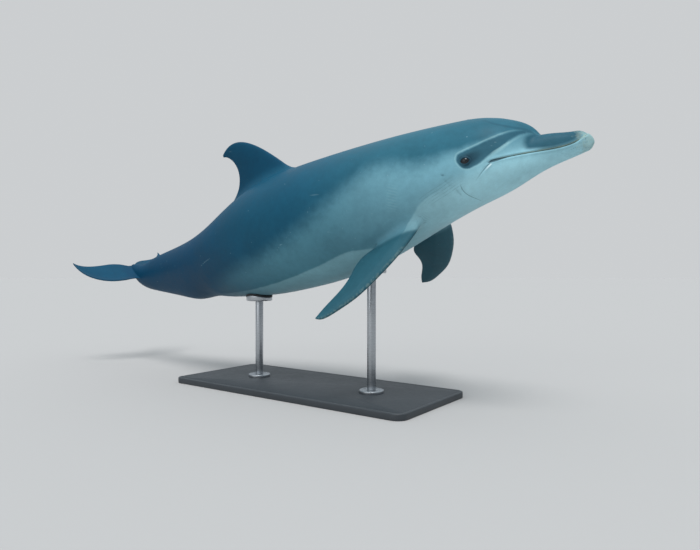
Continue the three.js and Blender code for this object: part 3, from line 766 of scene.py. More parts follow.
ahead, column = np.nonzero(body_cells)
behind, next_column = ahead + 1, (column + 1) % COLUMNS
left_turn, right_turn = column_angles[column], column_angles[next_column]
right_turn = np.where(right_turn < left_turn - 180, right_turn + 360, right_turn)
cell = [(ahead, left_turn), (ahead, right_turn), (behind, right_turn), (behind, left_turn)]
add_quads(
    [
        corner_left[ahead, column], corner_right[ahead, next_column],
        corner_right[behind, next_column], corner_left[behind, column],
    ],
    [unwrap(ring_stations[ring], turn) for ring, turn in cell],
)
for ring, end in ((0, LOWER_TIP), (RINGS - 1, TAIL_END)):
    loop = corner_left[ring]
    pole = add_points(points[loop].mean(0)[None], end, 0)
    loop_map = unwrap(np.full(COLUMNS, ring_stations[ring]), column_angles)
    pole_map = unwrap(np.full(COLUMNS, float(end)), column_angles)
    add_triangles(
        [loop, np.roll(loop, -1), np.broadcast_to(pole, loop.shape)],
        [loop_map, loop_map, pole_map],
    )

quads, quad_maps = np.vstack(quads), np.vstack(quad_maps)
triangles, triangle_maps = np.vstack(triangles), np.vstack(triangle_maps)
edges = np.unique(np.sort(np.vstack(
    [quads[:, [a, (a + 1) % 4]] for a in range(4)] + [triangles[:, [a, (a + 1) % 3]] for a in range(3)]
), axis=1), axis=0)
is_body = fin_kind == 0

# The flesh runs into each fin in a soft hollow.
FILLET_REACH = {"flipper": 30, "others": 42}  # mm
ROOT_NEIGHBOURHOOD = 0.09  # metres
root_distance = np.full(len(points), FAR)  # mm to the nearest fin root
fillet = np.zeros(len(points))
for name, roots in root_vertices.items():
    tree = KDTree(len(roots))
    for i, p in enumerate(points[roots]):
        tree.insert(p, i)
    tree.balance()
    low, high = points[roots].min(0) - ROOT_NEIGHBOURHOOD, points[roots].max(0) + ROOT_NEIGHBOURHOOD
    reach = FILLET_REACH["flipper" if "flipper" in name else "others"]
    for i in np.nonzero(((points > low) & (points < high)).all(1))[0]:
        distance = tree.find(points[i])[2] / MM
        root_distance[i] = min(root_distance[i], distance)
        fillet[i] = max(fillet[i], fade(distance / reach))


def smooth(points, weight, rounds):
    """Draws each vertex towards the middle of its neighbours, by its weight."""
    used = edges[(weight[edges] > 0).any(1)]
    start, end = np.concatenate([used[:, 0], used[:, 1]]), np.concatenate([used[:, 1], used[:, 0]])
    count = np.maximum(np.bincount(start, minlength=len(points)), 1)
    for _ in range(rounds):
        mean = np.stack([np.bincount(start, points[end, k], len(points)) for k in range(3)], -1)
        points = points + (mean / count[:, None] - points) * weight[:, None]
    return points


tail_end = is_body * smoothstep(stations, 94.0, 97.2)
jaw_end = is_body * (1 - smoothstep(stations, LOWER_TIP, LOWER_TIP + CROWN_ROUNDING))
for weight, rounds in ((0.6 * fillet, 48), (0.6 * tail_end, 110), (0.5 * jaw_end, 30)):
    points = smooth(points, weight, rounds)


def add_piece(name, mesh, slot, material, *replaced):
    """A finished piece of the model, riding on its one body."""
    piece = bpy.data.objects.new(name, mesh)
    bpy.context.scene.collection.objects.link(piece)
    mesh.materials.clear()
    mesh.materials.append(material)
    mesh.shade_smooth()
    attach(piece, "root")
    if replaced:
        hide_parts(*replaced)
    return piece


def face_outwards(mesh):
    work = bmesh.new()
    work.from_mesh(mesh)
    bmesh.ops.recalc_face_normals(work, faces=work.faces)
    work.to_mesh(mesh)
    work.free()


skin_mesh = bpy.data.meshes.new("skin")
skin_mesh.from_pydata(points.tolist(), [], quads.tolist() + triangles.tolist())
unwrapped = skin_mesh.uv_layers.new(name="OFBake")
unwrapped.data.foreach_set("uv", np.concatenate([quad_maps.ravel(), triangle_maps.ravel()]))
face_outwards(skin_mesh)


# ---- Folds, creases and openings of the skin ----

ring_points = points[corner_left]
girth = np.linalg.norm(np.roll(ring_points, -1, axis=1) - ring_points, axis=2).sum(1) / MM
mm_per_degree_at = straight(np.stack([ring_stations, girth / 360], 1))
scale = mm_per_degree_at(stations)
side_turn = np.abs(turns)
sheet_x = stations * PERCENT / MM  # the skin laid flat, mm: back along the body, and down from the back
sheet_y = side_turn * scale
sheet = np.stack([sheet_x, sheet_y], 1)
LINE_REACH = 60.0  # mm on each side of a line within which it is felt


def flat(line):
    """Places on the flat sheet, in mm, of [station, angle] points."""
    line = np.array(line, float)
    return np.stack([line[:, 0] * PERCENT / MM, line[:, 1] * mm_per_degree_at(line[:, 0])], -1)


def smooth_line(line, pieces=40):
    """The flat places of a line drawn as a smooth curve through [station, angle] points."""
    line = flat(line)
    lengths = np.append(0, np.cumsum(np.linalg.norm(np.diff(line, axis=0), axis=1)))
    at = np.linspace(0, lengths[-1], pieces + 1)
    return np.stack([spline(np.stack([lengths, line[:, k]], 1))(at) for k in (0, 1)], -1)


def beside(line, reach=LINE_REACH):
    """Signed distance in mm from a line on the skin, and how far along it, from 0 to 1."""
    curve = smooth_line(line)
    distance, along = np.full(len(points), reach), np.zeros(len(points))
    near = (sheet > curve.min(0) - reach) & (sheet < curve.max(0) + reach)
    chosen = np.nonzero(near.all(1) & is_body)[0]
    step = np.diff(curve, axis=0)
    offset = sheet[chosen, None] - curve[:-1]
    share = clamp01((offset * step).sum(-1) / (step * step).sum(-1))
    away_x, away_y = np.moveaxis(offset - share[..., None] * step, -1, 0)
    away = np.hypot(away_x, away_y)
    best = away.argmin(1)  # the piece of the line that lies nearest
    at = np.arange(len(chosen)), best
    side = np.sign(step[best, 0] * away_y[at] - step[best, 1] * away_x[at])
    distance[chosen] = side * np.minimum(away[at], reach)
    along[chosen] = (best + share[at]) / len(step)
    return distance, along


def taper(along, start=0.15, end=0.3):
    """Fades a line out over the given shares of its length at its two ends."""
    return smoothstep(along, 0, start) * (1 - smoothstep(along, 1 - end, 1))


def near_line(distance):
    """Fades to nothing well before the distance from a line changes sign without crossing it."""
    return 1 - smoothstep(np.abs(distance), 14, 22)


def furrow(distance, width):
    """The rounded profile of a groove, 1 along its middle."""
    return np.exp(-((distance / width) ** 2))


# Mouth: mm from the line between the jaws, above it positive.
mouth_column = {1: column_of(90), -1: column_of(-90)}
arc = np.cumsum(np.linalg.norm(np.diff(ring_points, axis=1, append=ring_points[:, :1]), axis=2), 1) / MM
arc = np.concatenate([np.zeros((RINGS, 1)), arc[:, :-1]], 1)
mouth = np.full(len(points), FAR)
left_half = column_angles >= 0
arc_from_mouth = np.where(left_half, arc[:, [mouth_column[1]]] - arc, arc - arc[:, [mouth_column[-1]]])
mouth[corner_left.ravel()] = arc_from_mouth.ravel()
added = (mouth == FAR) & is_body  # the lids, the poles and the far sides of the fins' roots
mouth[added] = (90 - side_turn[added]) * scale[added]
mouth = mouth + 5.0 * smoothstep(stations, 10.4, 11.9) ** 2  # the line drops at the gape
mouth_open = (1 - smoothstep(stations, 11.0, 11.75)) * smoothstep(stations, -0.2, 0.4)

# Lines on the skin, [station, angle].
LINES = {
    "fold": [[11.1, 93.0], [11.56, 96.9], [12.02, 100.9], [12.88, 109.1], [13.74, 117.6]],
    "throat": [[15.2, 109], [15.31, 119.3], [15.1, 129.6], [14.73, 138.8], [14.3, 150.0], [14.1, 166]],
    "small_crease": [[15.96, 116.1], [15.84, 123.1], [15.76, 129.8]],
    "low_crease": [[18.8, 132], [18.55, 145.0], [18.72, 165]],
    "neck_bend": [[17.05, 95.5], [16.7, 103.9], [16.17, 112.6]],
    "neck": [[14.9, 103.5], [16.05, 106.8], [17.61, 111.6], [19.4, 115.6], [21.0, 121]],
    "eye_stripe": [[13.9, 83], [12.9, 80.5], [11.7, 76.2], [10, 69.7], [8.7, 62], [7.4, 53], [6.1, 43.5]],
    "blow_stripe": [
        [12.2, 14], [10.9, 26.7], [10, 35.5], [9, 39.7], [7.9, 41.9], [6.6, 41.5], [5.5, 41],
    ],
    # the streak: a thin pale line painted where a glint of light lies over the cheek
    "streak": [[11.2, 84], [10.49, 80.4], [9.67, 76.9], [8.85, 71.9], [8.2, 67]],  # over the cheek
    # a row of short parallel marks on the flank over each flipper
    "marks": [[23.1, 85], [23.4, 93], [23.8, 101], [24.2, 109], [24.6, 116]],
    # a dim band from the eye to the flipper
    "eye_shade": [[13.6, 95], [15.2, 101], [17.2, 107], [19.4, 113], [21.4, 120]],
}
LONGER_REACH = {"neck": 80, "eye_stripe": 90, "eye_shade": 90}  # mm
EYE_STRIPE_RADII = [[0, 23], [0.12, 21], [0.27, 16.5], [0.5, 12], [0.67, 7.5], [0.84, 4.5], [1, 2.0]]
# Creases: depth and width in mm, mm from the line, and shares of its length over which each end fades.
CREASES = {
    "fold": (1.6, 2.0, -0.6, 0.05, 0.75),
    "throat": (1.3, 2.4, 0, 0.2, 0.45),
    "small_crease": (0.8, 2.2, 0, 0.3, 0.4),
    "low_crease": (0.9, 2.6, 0, 0.3, 0.4),
    "neck_bend": (0.7, 2.2, 0, 0.3, 0.3),
}
MOUTH_GROOVE = (3.6, 2.2)  # depth and width, mm
FOLD_ROLL = (1.5, 3.2, 4.0)  # height, width and mm behind the fold
LIP_ROLLS, LIP_WIDTH = {5.5: 1.0, -5.5: 0.8}, 4.0  # mm above the mouth's line: height; mm
WRINKLE_STEP, GATHER_STEP = 8.4, 9.0  # mm between wrinkles of the neck, and before the flippers
WRINKLE_DEPTH, GATHER_DEPTH = 0.5, 0.45  # mm
GATHER_REACH = (10, 34)  # mm round a flipper's front, over which its gathers fade
# A crescent open to the front, on the top of the head; its station, and mm.
BLOWHOLE = {"station": 12.9, "radius": 15.0, "width": 3.0, "depth": 4.0}
BLOW_LIP = {"outwards": 5, "width": 4.0, "height": 1.2}
EAR = {"place": [16.9, 92.4], "width": 3.2, "depth": 1.6}
SLIT, NAVEL = {"width": 3.5, "depth": 1.8}, {"station": 45, "width": 6, "depth": 1.5}

away, along = {}, {}
for name, line in LINES.items():
    away[name], along[name] = beside(line, LONGER_REACH.get(name, LINE_REACH))
neck_mask = taper(along["neck"], 0.2, 0.35) * (1 - smoothstep(np.abs(away["neck"]), 16, 25))
eye_patch = np.abs(away["eye_stripe"]) - straight(EYE_STRIPE_RADII)(along["eye_stripe"])

# The flipper's root, where the skin gathers in front.
gathers = np.zeros(len(points))
for fin in fins[1:3]:
    from_front = np.linalg.norm((points - place(*fin.root(True)[0])) / MM, axis=1)
    gathers = np.maximum(gathers, 1 - smoothstep(from_front, *GATHER_REACH))
gather_lines = sheet_x + 0.35 * sheet_y

blow_x = (stations - BLOWHOLE["station"]) * PERCENT / MM
blow_y = turns * scale
blow_ring = np.hypot(blow_x + BLOWHOLE["radius"] * 0.55, blow_y) - BLOWHOLE["radius"]
blow_open = is_body * (1 - smoothstep(np.abs(blow_y), 11, 16)) * smoothstep(blow_x, -12, -2)
blow_hole = furrow(blow_ring, BLOWHOLE["width"]) * blow_open
blow_lip = furrow(blow_ring - BLOW_LIP["outwards"], BLOW_LIP["width"]) * blow_open

# The ears and, under the tail, the closed slits.
ear_x, ear_y = flat([EAR["place"]])[0]
ear = is_body * furrow(np.hypot(sheet_x - ear_x, sheet_y - ear_y), EAR["width"])
belly_y = (180 - side_turn) * scale
slit_ends = smoothstep(stations, 62.5, 63.2) * (1 - smoothstep(stations, 67.5, 68.4))
slit = is_body * furrow(belly_y, SLIT["width"]) * slit_ends
navel_x = (stations - NAVEL["station"]) * PERCENT / MM
navel = is_body * furrow(np.hypot(navel_x, belly_y), NAVEL["width"])

deepening = MOUTH_GROOVE[0] * furrow(mouth, MOUTH_GROOVE[1]) * mouth_open
for name, (depth, width, beyond, start, end) in CREASES.items():
    fading = taper(along[name], start, end)
    deepening = deepening + depth * furrow(away[name] - beyond, width) * fading
wrinkles = 1 + np.cos(away["neck"] * 2 * np.pi / WRINKLE_STEP)
deepening = deepening + WRINKLE_DEPTH * neck_mask * wrinkles * 0.5
wrinkles = 0.5 + 0.5 * np.cos(gather_lines * 2 * np.pi / GATHER_STEP)
deepening = deepening + GATHER_DEPTH * gathers * wrinkles * is_body
deepening = deepening + BLOWHOLE["depth"] * blow_hole - BLOW_LIP["height"] * blow_lip
deepening = deepening + EAR["depth"] * ear + SLIT["depth"] * slit + NAVEL["depth"] * navel
raising = FOLD_ROLL[0] * furrow(away["fold"] - FOLD_ROLL[2], FOLD_ROLL[1]) * taper(along["fold"], 0.1, 0.85)
for above, height in LIP_ROLLS.items():
    raising = raising + height * furrow(mouth - above, LIP_WIDTH) * mouth_open

normals = np.zeros(len(points) * 3)
skin_mesh.vertex_normals.foreach_get("vector", normals)
points = points + normals.reshape(-1, 3) * ((raising - deepening) * MM)[:, None]
skin_mesh.vertices.foreach_set("co", points.ravel())

# ---- The skin's markings, as distances in mm that its material reads ----

CAPE_EDGE = [
    [4, 30], [6.5, 45], [8, 54], [9.3, 58], [11, 64], [12.8, 69], [15.3, 73], [17.9, 76], [20.4, 75],
    [23, 69], [26, 66], [29, 74], [32.7, 84], [36.7, 92.5], [41.3, 100], [46, 105], [51.5, 109],
    [57.4, 113.5], [67, 138], [80, 170], [100, 190],
]
CAPE_SOFTNESS = [[5, 10], [14, 18], [22, 52], [40, 48]]  # mm that its edge fades over, each way
BELLY_EDGE = [
    [-1, 89], [6, 90], [9, 91], [11.4, 94], [13, 100], [15, 105], [18, 110], [21, 118], [24, 138], [27, 146],
    [29.6, 141.8], [33, 132.5], [37, 132.3], [41.3, 135.3], [46, 137.6], [51, 140.3], [56, 143.1],
    [62, 147.5], [70, 155], [78, 166], [86, 178], [100, 186],
]
BEAK_REAR = [[4.8, 0], [4.95, 34], [5.85, 46], [6.75, 61], [7.0, 72], [6.9, 84], [6.6, 90]]
LIP_HEIGHT = [[-0.5, 8], [0.6, 8], [2, 4], [4, 4], [5.3, 7], [6.5, 12], [8, 30]]  # mm over the mouth
BEAK_START, BEAK_STOP = 0.7, 8.5  # stations outside which the beak's dark paint never lies

cape_softness = straight(CAPE_SOFTNESS)(stations)
cape = (side_turn - spline(CAPE_EDGE)(stations)) * scale / cape_softness
belly = (side_turn - spline(BELLY_EDGE)(stations)) * scale
below = mouth - straight(LIP_HEIGHT)(stations)
rear_line = np.array(BEAK_REAR)
ahead = (np.interp(side_turn, rear_line[:, 1], rear_line[:, 0]) - stations) * PERCENT / MM
beak = np.minimum(np.minimum(below, ahead), (stations - BEAK_START) * PERCENT / MM)
beak = np.clip(beak, -LINE_REACH, LINE_REACH)
beak = np.where(is_body & (stations < BEAK_STOP), beak, -LINE_REACH)
on_fin = np.where(is_body, -np.minimum(root_distance, 200), fin_span)

# Old scars, on each side's own lines: the sides of a real animal never match.
SCARS = {
    -1: [
        [[45.2, 108.3], [43.0, 102.4], [40.4, 95.1]], [[35.0, 105.9], [34.3, 109.3], [33.5, 112.1]],
        [[37.1, 88.6], [36.6, 84.9], [36.0, 81.4]], [[38.7, 79.4], [38.1, 79.1], [37.6, 79.1]],
        [[27.4, 107.1], [27.1, 108], [26.8, 109.1]], [[55.4, 57.7], [54, 57.2], [52.5, 57.9]],
        [[32.3, 121.3], [32.1, 122.2], [31.8, 123.1]], [[66, 96], [63.4, 91], [61.2, 89]],
    ],
    1: [
        [[33, 92], [35.2, 97], [38.3, 99]], [[47, 78], [48.9, 84], [50, 92]],
        [[26.5, 112], [27.4, 108], [28.6, 106]], [[58, 101], [60, 104], [62.6, 105]],
        [[41.8, 118], [42.2, 121.4], [43, 125]], [[71, 80], [72.6, 84], [73.2, 90]],
    ],
}
scar = np.full(len(points), LINE_REACH)
for body_side, line in ((side, line) for side, lines in SCARS.items() for line in lines):
    from_scar, part = beside(line)
    near = (np.sign(turns) == body_side) & (part > 0.01) & (part < 0.99)
    scar = np.where(near, np.minimum(scar, np.abs(from_scar) + 1.5 * np.abs(part - 0.5)), scar)


def in_and_out(name, *shares):
    """Fades a line in between the first two shares of its length, and out between the last two."""
    return smoothstep(along[name], *shares[:2]) * (1 - smoothstep(along[name], *shares[2:]))


shade_ends = taper(along["eye_shade"], 0.15, 0.4)
# painted shade along the small crease of the throat
small_dark = 0.5 * furrow(away["small_crease"], 2.2) * taper(along["small_crease"])
# What the skin's material reads at each vertex: distances in mm, and masks from 0 to 1.
fields = {
    "station": stations,
    "cape": cape,
    "belly": belly,
    "mouth": np.where(is_body, mouth, LINE_REACH),
    "beak": beak,
    "eye_patch": np.where(is_body, eye_patch, LINE_REACH),
    "eye_stripe_along": along["eye_stripe"],
    "eye_shade": (1 - smoothstep(np.abs(away["eye_shade"]), 8, 34)) * shade_ends * is_body,
    "blow_stripe": np.where(is_body, away["blow_stripe"], LINE_REACH),
    "blow_stripe_mask": near_line(away["blow_stripe"]) * in_and_out("blow_stripe", 0.05, 0.4, 0.92, 1),
    "scar": scar,
    "marks_along": along["marks"],
    "marks_mask": near_line(away["marks"]) * taper(along["marks"], 0.25, 0.25),
    # a painted highlight along the cheek
    "streak_mask": near_line(away["streak"]) * taper(along["streak"], 0.3, 0.3),
    # the fold behind the gape: painted shade in its crease, and a painted highlight on the roll behind it
    "fold_line_mask": near_line(away["fold"]) * in_and_out("fold", 0, 0.06, 0.3, 1),
    "fold_highlight_mask": near_line(away["fold"]) * in_and_out("fold", 0, 0.08, 0.16, 0.42),
    "throat_mask": near_line(away["throat"]) * taper(along["throat"], 0.2, 0.45),
    "neck_mask": neck_mask * is_body,
    "gathers": gathers,
    "gather_lines": gather_lines,
    # painted shade in the hollows: blowhole, ears, slits, navel and the small crease
    "hollow": clamp01(blow_hole + ear + 0.6 * slit + 0.5 * navel + small_dark),
    "fin": on_fin,
    "fin_front": np.minimum(fin_front, 300),
    "flipper": (fin_kind == 2) * 1.0,
    **{name: away[name] for name in ("marks", "streak", "fold", "throat", "neck")},
}


def add_field(mesh, name, values):
    """A number at each vertex, which a material can read."""
    attribute = mesh.attributes.new(name, "FLOAT", "POINT")
    attribute.data.foreach_set("value", np.asarray(values, np.float32))


for name, values in fields.items():
    add_field(skin_mesh, name, values)
skin_mesh.update()


# ---- Materials ----


def colour(red, green, blue):
    """A paint's colour from its display values, 0 to 255."""
    linear = [((c / 255 + 0.055) / 1.055) ** 2.4 if c > 10 else c / 255 / 12.92 for c in (red, green, blue)]
    return (*linear, 1.0)


class Nodes:
    """Adds nodes to a tree and joins them; a value is either a socket or a plain number or colour."""

    def __init__(self, tree):
        self.tree = tree

    def feed(self, value, socket):
        if isinstance(value, bpy.types.NodeSocket):
            self.tree.links.new(value, socket)
        else:
            socket.default_value = value

    def add(self, kind, inputs=None, **settings):
        node = self.tree.nodes.new(kind)
        for name, value in settings.items():
            setattr(node, name, value)
        for name, value in (inputs or {}).items():
            self.feed(value, node.inputs[name])
        return node

    def calc(self, operation, *values):
        return self.add("ShaderNodeMath", dict(enumerate(values)), operation=operation).outputs[0]

    def step(self, value, low, high, start=0.0, end=1.0):
        given = dict(enumerate((value, low, high, start, end)))
        return self.add("ShaderNodeMapRange", given, interpolation_type="SMOOTHSTEP").outputs[0]

    def band(self, value, middle, half, soft):
        """1 within half of the middle, fading out over soft."""
        away = self.calc("ABSOLUTE", self.calc("SUBTRACT", value, middle))
        return self.step(away, half, half + soft, 1.0, 0.0)

    def chain(self, operation, *values):
        made = values[0]
        for value in values[1:]:
            made = self.calc(operation, made, value)
        return made

    def product(self, *values):
        return self.chain("MULTIPLY", *values)

    def highest(self, *values):
        return self.chain("MAXIMUM", *values)

    def wave(self, value, length, low):
        """Evenly spaced lines: 1 along the middle of each, 0 where the wave is below low."""
        turned = self.calc("COSINE", self.product(value, 2 * math.pi / length))
        return self.step(turned, low, 1.0)

    def blend(self, part, below, above, mode="MIX"):
        given = {0: part, 6: below, 7: above}
        return self.add("ShaderNodeMix", given, data_type="RGBA", blend_type=mode).outputs[2]

    def noise(self, place, scale, detail=3.0, roughness=0.5):
        given = {"Vector": place, "Scale": scale, "Detail": detail, "Roughness": roughness}
        return self.add("ShaderNodeTexNoise", given).outputs["Fac"]

    def stretched(self, place, scale, turn=(0, 0, 0)):
        given = {"Vector": place, "Scale": scale, "Rotation": [math.radians(a) for a in turn]}
        return self.add("ShaderNodeMapping", given).outputs[0]

    def place(self):
        return self.add("ShaderNodeTexCoord").outputs["Object"]

    def field(self, name):
        return self.add("ShaderNodeAttribute", attribute_name=name).outputs["Fac"]

    def cloud(self, place, scale, fine):
        given = {"Vector": place, "Scale": scale, "Fine": fine}
        return self.add("ShaderNodeGroup", given, node_tree=CLOUD).outputs["Value"]

    def speckle(self, place, scale, size):
        given = {"Vector": place, "Scale": scale, "Size": size}
        return self.add("ShaderNodeGroup", given, node_tree=SPECKLE).outputs["Mask"]

    def relief(self, height, strength, depth):
        given = {"Height": height, "Strength": strength, "Distance": depth}
        return self.add("ShaderNodeBump", given).outputs[0]


def new_group(name, inputs, output, kind="ShaderNodeTree"):
    """An empty node group; inputs: name, socket type and value of each; output: name and socket type."""
    tree = bpy.data.node_groups.new(name, kind)
    for title, socket_type, value in inputs:
        socket = tree.interface.new_socket(name=title, in_out="INPUT", socket_type=socket_type)
        if value is not None:
            socket.default_value = value
    tree.interface.new_socket(name=output[0], in_out="OUTPUT", socket_type=output[1])
    nodes = Nodes(tree)
    return tree, nodes, nodes.add("NodeGroupInput").outputs, nodes.add("NodeGroupOutput").inputs[0]


VECTOR, FLOAT = "NodeSocketVector", "NodeSocketFloat"


def make_cloud():
    """Soft uneven patches of tone, in two sizes."""
    sockets = [("Vector", VECTOR, None), ("Scale", FLOAT, 5.0), ("Fine", FLOAT, 4.0)]
    tree, nodes, given, out = new_group("cloud", sockets, ("Value", FLOAT))
    broad = nodes.noise(given["Vector"], given["Scale"], 4.0, 0.55)
    fine = nodes.noise(given["Vector"], nodes.product(given["Scale"], given["Fine"]), 3.0, 0.6)
    nodes.feed(nodes.calc("ADD", nodes.product(broad, 0.65), nodes.product(fine, 0.35)), out)
    return tree


def make_speckle():
    """Small round flecks scattered at random."""
    sockets = [("Vector", VECTOR, None), ("Scale", FLOAT, 200.0), ("Size", FLOAT, 0.25)]
    tree, nodes, given, out = new_group("speckle", sockets, ("Mask", FLOAT))
    cells = nodes.add("ShaderNodeTexVoronoi", {"Vector": given["Vector"], "Scale": given["Scale"]}).outputs
    pick = nodes.add("ShaderNodeSeparateColor", {0: cells["Color"]}).outputs
    size = nodes.product(given["Size"], pick[0])
    nodes.feed(nodes.step(cells["Distance"], nodes.product(size, 0.6), size, 1.0, 0.0), out)
    return tree


CLOUD, SPECKLE = make_cloud(), make_speckle()


def new_material(name, settings=None):
    """A material, its nodes and its shader's inputs, those that are the same all over already set."""
    material = bpy.data.materials.new(name)
    material.use_nodes = True
    surface = material.node_tree.nodes["Principled BSDF"].inputs
    for title, value in (settings or {}).items():
        surface[title].default_value = value
    return material, Nodes(material.node_tree), surface


# The skin's paints, by their display values.
SKIN_TONES = {
    "cape": (22, 78, 102), "cape_head": (44, 98, 116), "flank": (78, 128, 144),
    "flank_head": (116, 166, 181), "belly": (124, 170, 182), "throat": (160, 208, 219),
    "tail": (6, 58, 86), "fin": (12, 68, 94), "flipper": (34, 80, 94), "beak": (32, 82, 100),
    "eye_patch": (32, 79, 97), "pale_tip": (150, 170, 160), "lip": (176, 184, 150),
    "dark_line": (24, 52, 66), "rim": (150, 190, 196), "fold_highlight": (206, 228, 232),
    "scar": (150, 186, 196), "edge": (128, 146, 138),
}
SKIN_SHEEN = {"Coat Weight": 0.015, "Coat Roughness": 0.3, "Specular IOR Level": 0.09}
# Stations over which the paints of the body give way to those of the head, and to that of the tail.
# The paler head paints and the dark tail paint are partly the animal's own pattern and partly a painted
# fall-off of light towards the tail.
FLANK_CHANGE, CAPE_CHANGE, PALE_CHANGE, BELLY_EDGE_CHANGE = (38, 16), (42, 20), (30, 13), (24, 16)
FACE_CHANGE, TAIL_CHANGE = (14, 8), (44, 72)
EDGE_STRAY = 60.0  # mm that soft edges stray
LIP_END, GROOVE, GROOVE_CLOSING = (11.2, 9.6), (8.6, 10.8), (10.9, 11.6)  # stations at the gape
LINE_HALF, GROOVE_WIDTH, GROOVE_CLOSED, GROOVE_DROP = 0.35, 3.0, 4.5, 1.2  # mm, between the jaws


def skin_material():
    material, nodes, surface = new_material("painted_skin", SKIN_SHEEN)
    field, step, product, blend = nodes.field, nodes.step, nodes.product, nodes.blend
    calc, band = nodes.calc, nodes.band
    paint = {name: colour(*tone) for name, tone in SKIN_TONES.items()}
    place = nodes.place()
    cloud, fine_cloud = nodes.cloud(place, 7.0, 5.0), nodes.cloud(place, 60.0, 4.0)
    wander = product(calc("SUBTRACT", cloud, 0.5), EDGE_STRAY)
    station = field("station")

    def stray(value, share):
        return calc("ADD", value, product(wander, share))

    # body: flank, cape, belly and the dark tail, the darkening from head to tail partly painted shade
    flank = blend(step(station, *FLANK_CHANGE), paint["flank"], paint["flank_head"])
    cape = blend(step(station, *CAPE_CHANGE), paint["cape"], paint["cape_head"])
    pale = blend(step(station, *PALE_CHANGE), paint["belly"], paint["throat"])
    flank = blend(product(step(station, *FACE_CHANGE), 0.66), flank, paint["cape_head"])
    base = blend(step(stray(field("cape"), 0.02), -1.0, 1.0), cape, flank)

    def lay(name, strength, *masks):
        """Lays a paint over the others."""
        nonlocal base
        base = blend(product(*masks, strength), base, paint[name])

    lay("cape_head", 0.2, field("eye_shade"))
    belly = stray(field("belly"), 0.25)
    sharp_belly, faded_belly = step(belly, -4.0, 5.0), step(belly, -55.0, 45.0)
    base = blend(blend(step(station, *BELLY_EDGE_CHANGE), sharp_belly, faded_belly), base, pale)
    # the tail stock's dark paint: its own dark tone, deepened by painted shade
    lay("tail", 0.95, step(stray(station, 0.12), *TAIL_CHANGE))

    # head: the stripe from the blowhole, the dark beak, the eye's patch and its pale rim, and a painted
    # highlight over the cheek
    lay("eye_patch", 0.55, band(field("blow_stripe"), 0.0, 1.5, 5.0), field("blow_stripe_mask"))
    lay("beak", 0.92, step(stray(field("beak"), 0.12), -12.0, 8.0))
    patch, from_eye = field("eye_patch"), field("eye_stripe_along")
    lay("rim", 0.34, band(patch, 2.2, 0.8, 2.2), step(from_eye, 0.95, 0.5))
    lay("eye_patch", 0.86, step(patch, 1.5, -4.0))
    lay("dark_line", 0.82, step(patch, -4.0, -17.0), step(from_eye, 0.3, 0.05))
    # painted highlight: a thin glint over the cheek, in the rim's paint
    lay("rim", 0.5, band(field("streak"), 0.0, 0.7, 2.2), field("streak_mask"))

    # mouth: the mottled tip, pale lips, and the line between the jaws, painted shade that widens into a dark
    # groove at the gape
    mouth = field("mouth")
    mottled = calc("ADD", station, product(calc("SUBTRACT", fine_cloud, 0.5), 5.0))
    lay("pale_tip", 0.5, step(mottled, 1.5, 0.1))
    jaw_front = product(step(station, 5.0, 1.5), step(mouth, 0.0, -14.0))
    lay("beak", 0.4, nodes.speckle(place, 190.0, 0.55), jaw_front, step(fine_cloud, 0.35, 0.6))
    under_upper = step(station, -0.1, 0.3)  # the upper jaw's end
    lip = product(band(mouth, 0.8, 1.2, 1.8), step(station, *LIP_END), step(fine_cloud, 0.3, 0.62))
    lay("lip", 0.6, lip, under_upper)
    groove = step(station, *GROOVE)
    line_half = calc("ADD", LINE_HALF, product(groove, GROOVE_WIDTH))
    line_half = calc("SUBTRACT", line_half, product(step(station, *GROOVE_CLOSING), GROOVE_CLOSED))
    from_line = calc("ABSOLUTE", calc("ADD", mouth, product(groove, GROOVE_DROP)))
    # painted shade in the gap between the jaws and in the gape's groove
    lay("dark_line", 0.8, step(calc("SUBTRACT", from_line, line_half), 1.4, 0.0), under_upper)
    # painted shade in the fold's crease, then a near-white painted highlight along the roll of skin behind
    # it
    lay("dark_line", 0.5, band(field("fold"), -0.6, 0.6, 1.6), field("fold_line_mask"))
    lay("fold_highlight", 0.8, band(field("fold"), 2.8, 0.8, 2.0), field("fold_highlight_mask"))

    # fins, with a worn front edge
    fin = step(stray(field("fin"), 0.5), -20.0, 62.0)
    base = blend(product(fin, 0.95), base, blend(field("flipper"), paint["fin"], paint["flipper"]))
    front_edge, worn = step(field("fin_front"), 9.0, 1.0), step(nodes.noise(place, 120.0), 0.42, 0.62)
    lay("edge", 0.32, front_edge, field("flipper"), step(field("fin"), 70.0, 150.0), worn)

    # creases, scars, and uneven tone over all; the creases and hollows are darkened as painted shade
    neck_line = nodes.wave(field("neck"), WRINKLE_STEP, 0.6)
    neck_line = product(neck_line, field("neck_mask"), step(fine_cloud, 0.3, 0.6), 0.55)
    gather_line = product(nodes.wave(field("gather_lines"), GATHER_STEP, 0.6), field("gathers"), 0.45)
    throat_line = product(band(field("throat"), 0.0, 0.4, 1.6), field("throat_mask"))
    creases = nodes.highest(neck_line, gather_line, throat_line, field("hollow"))
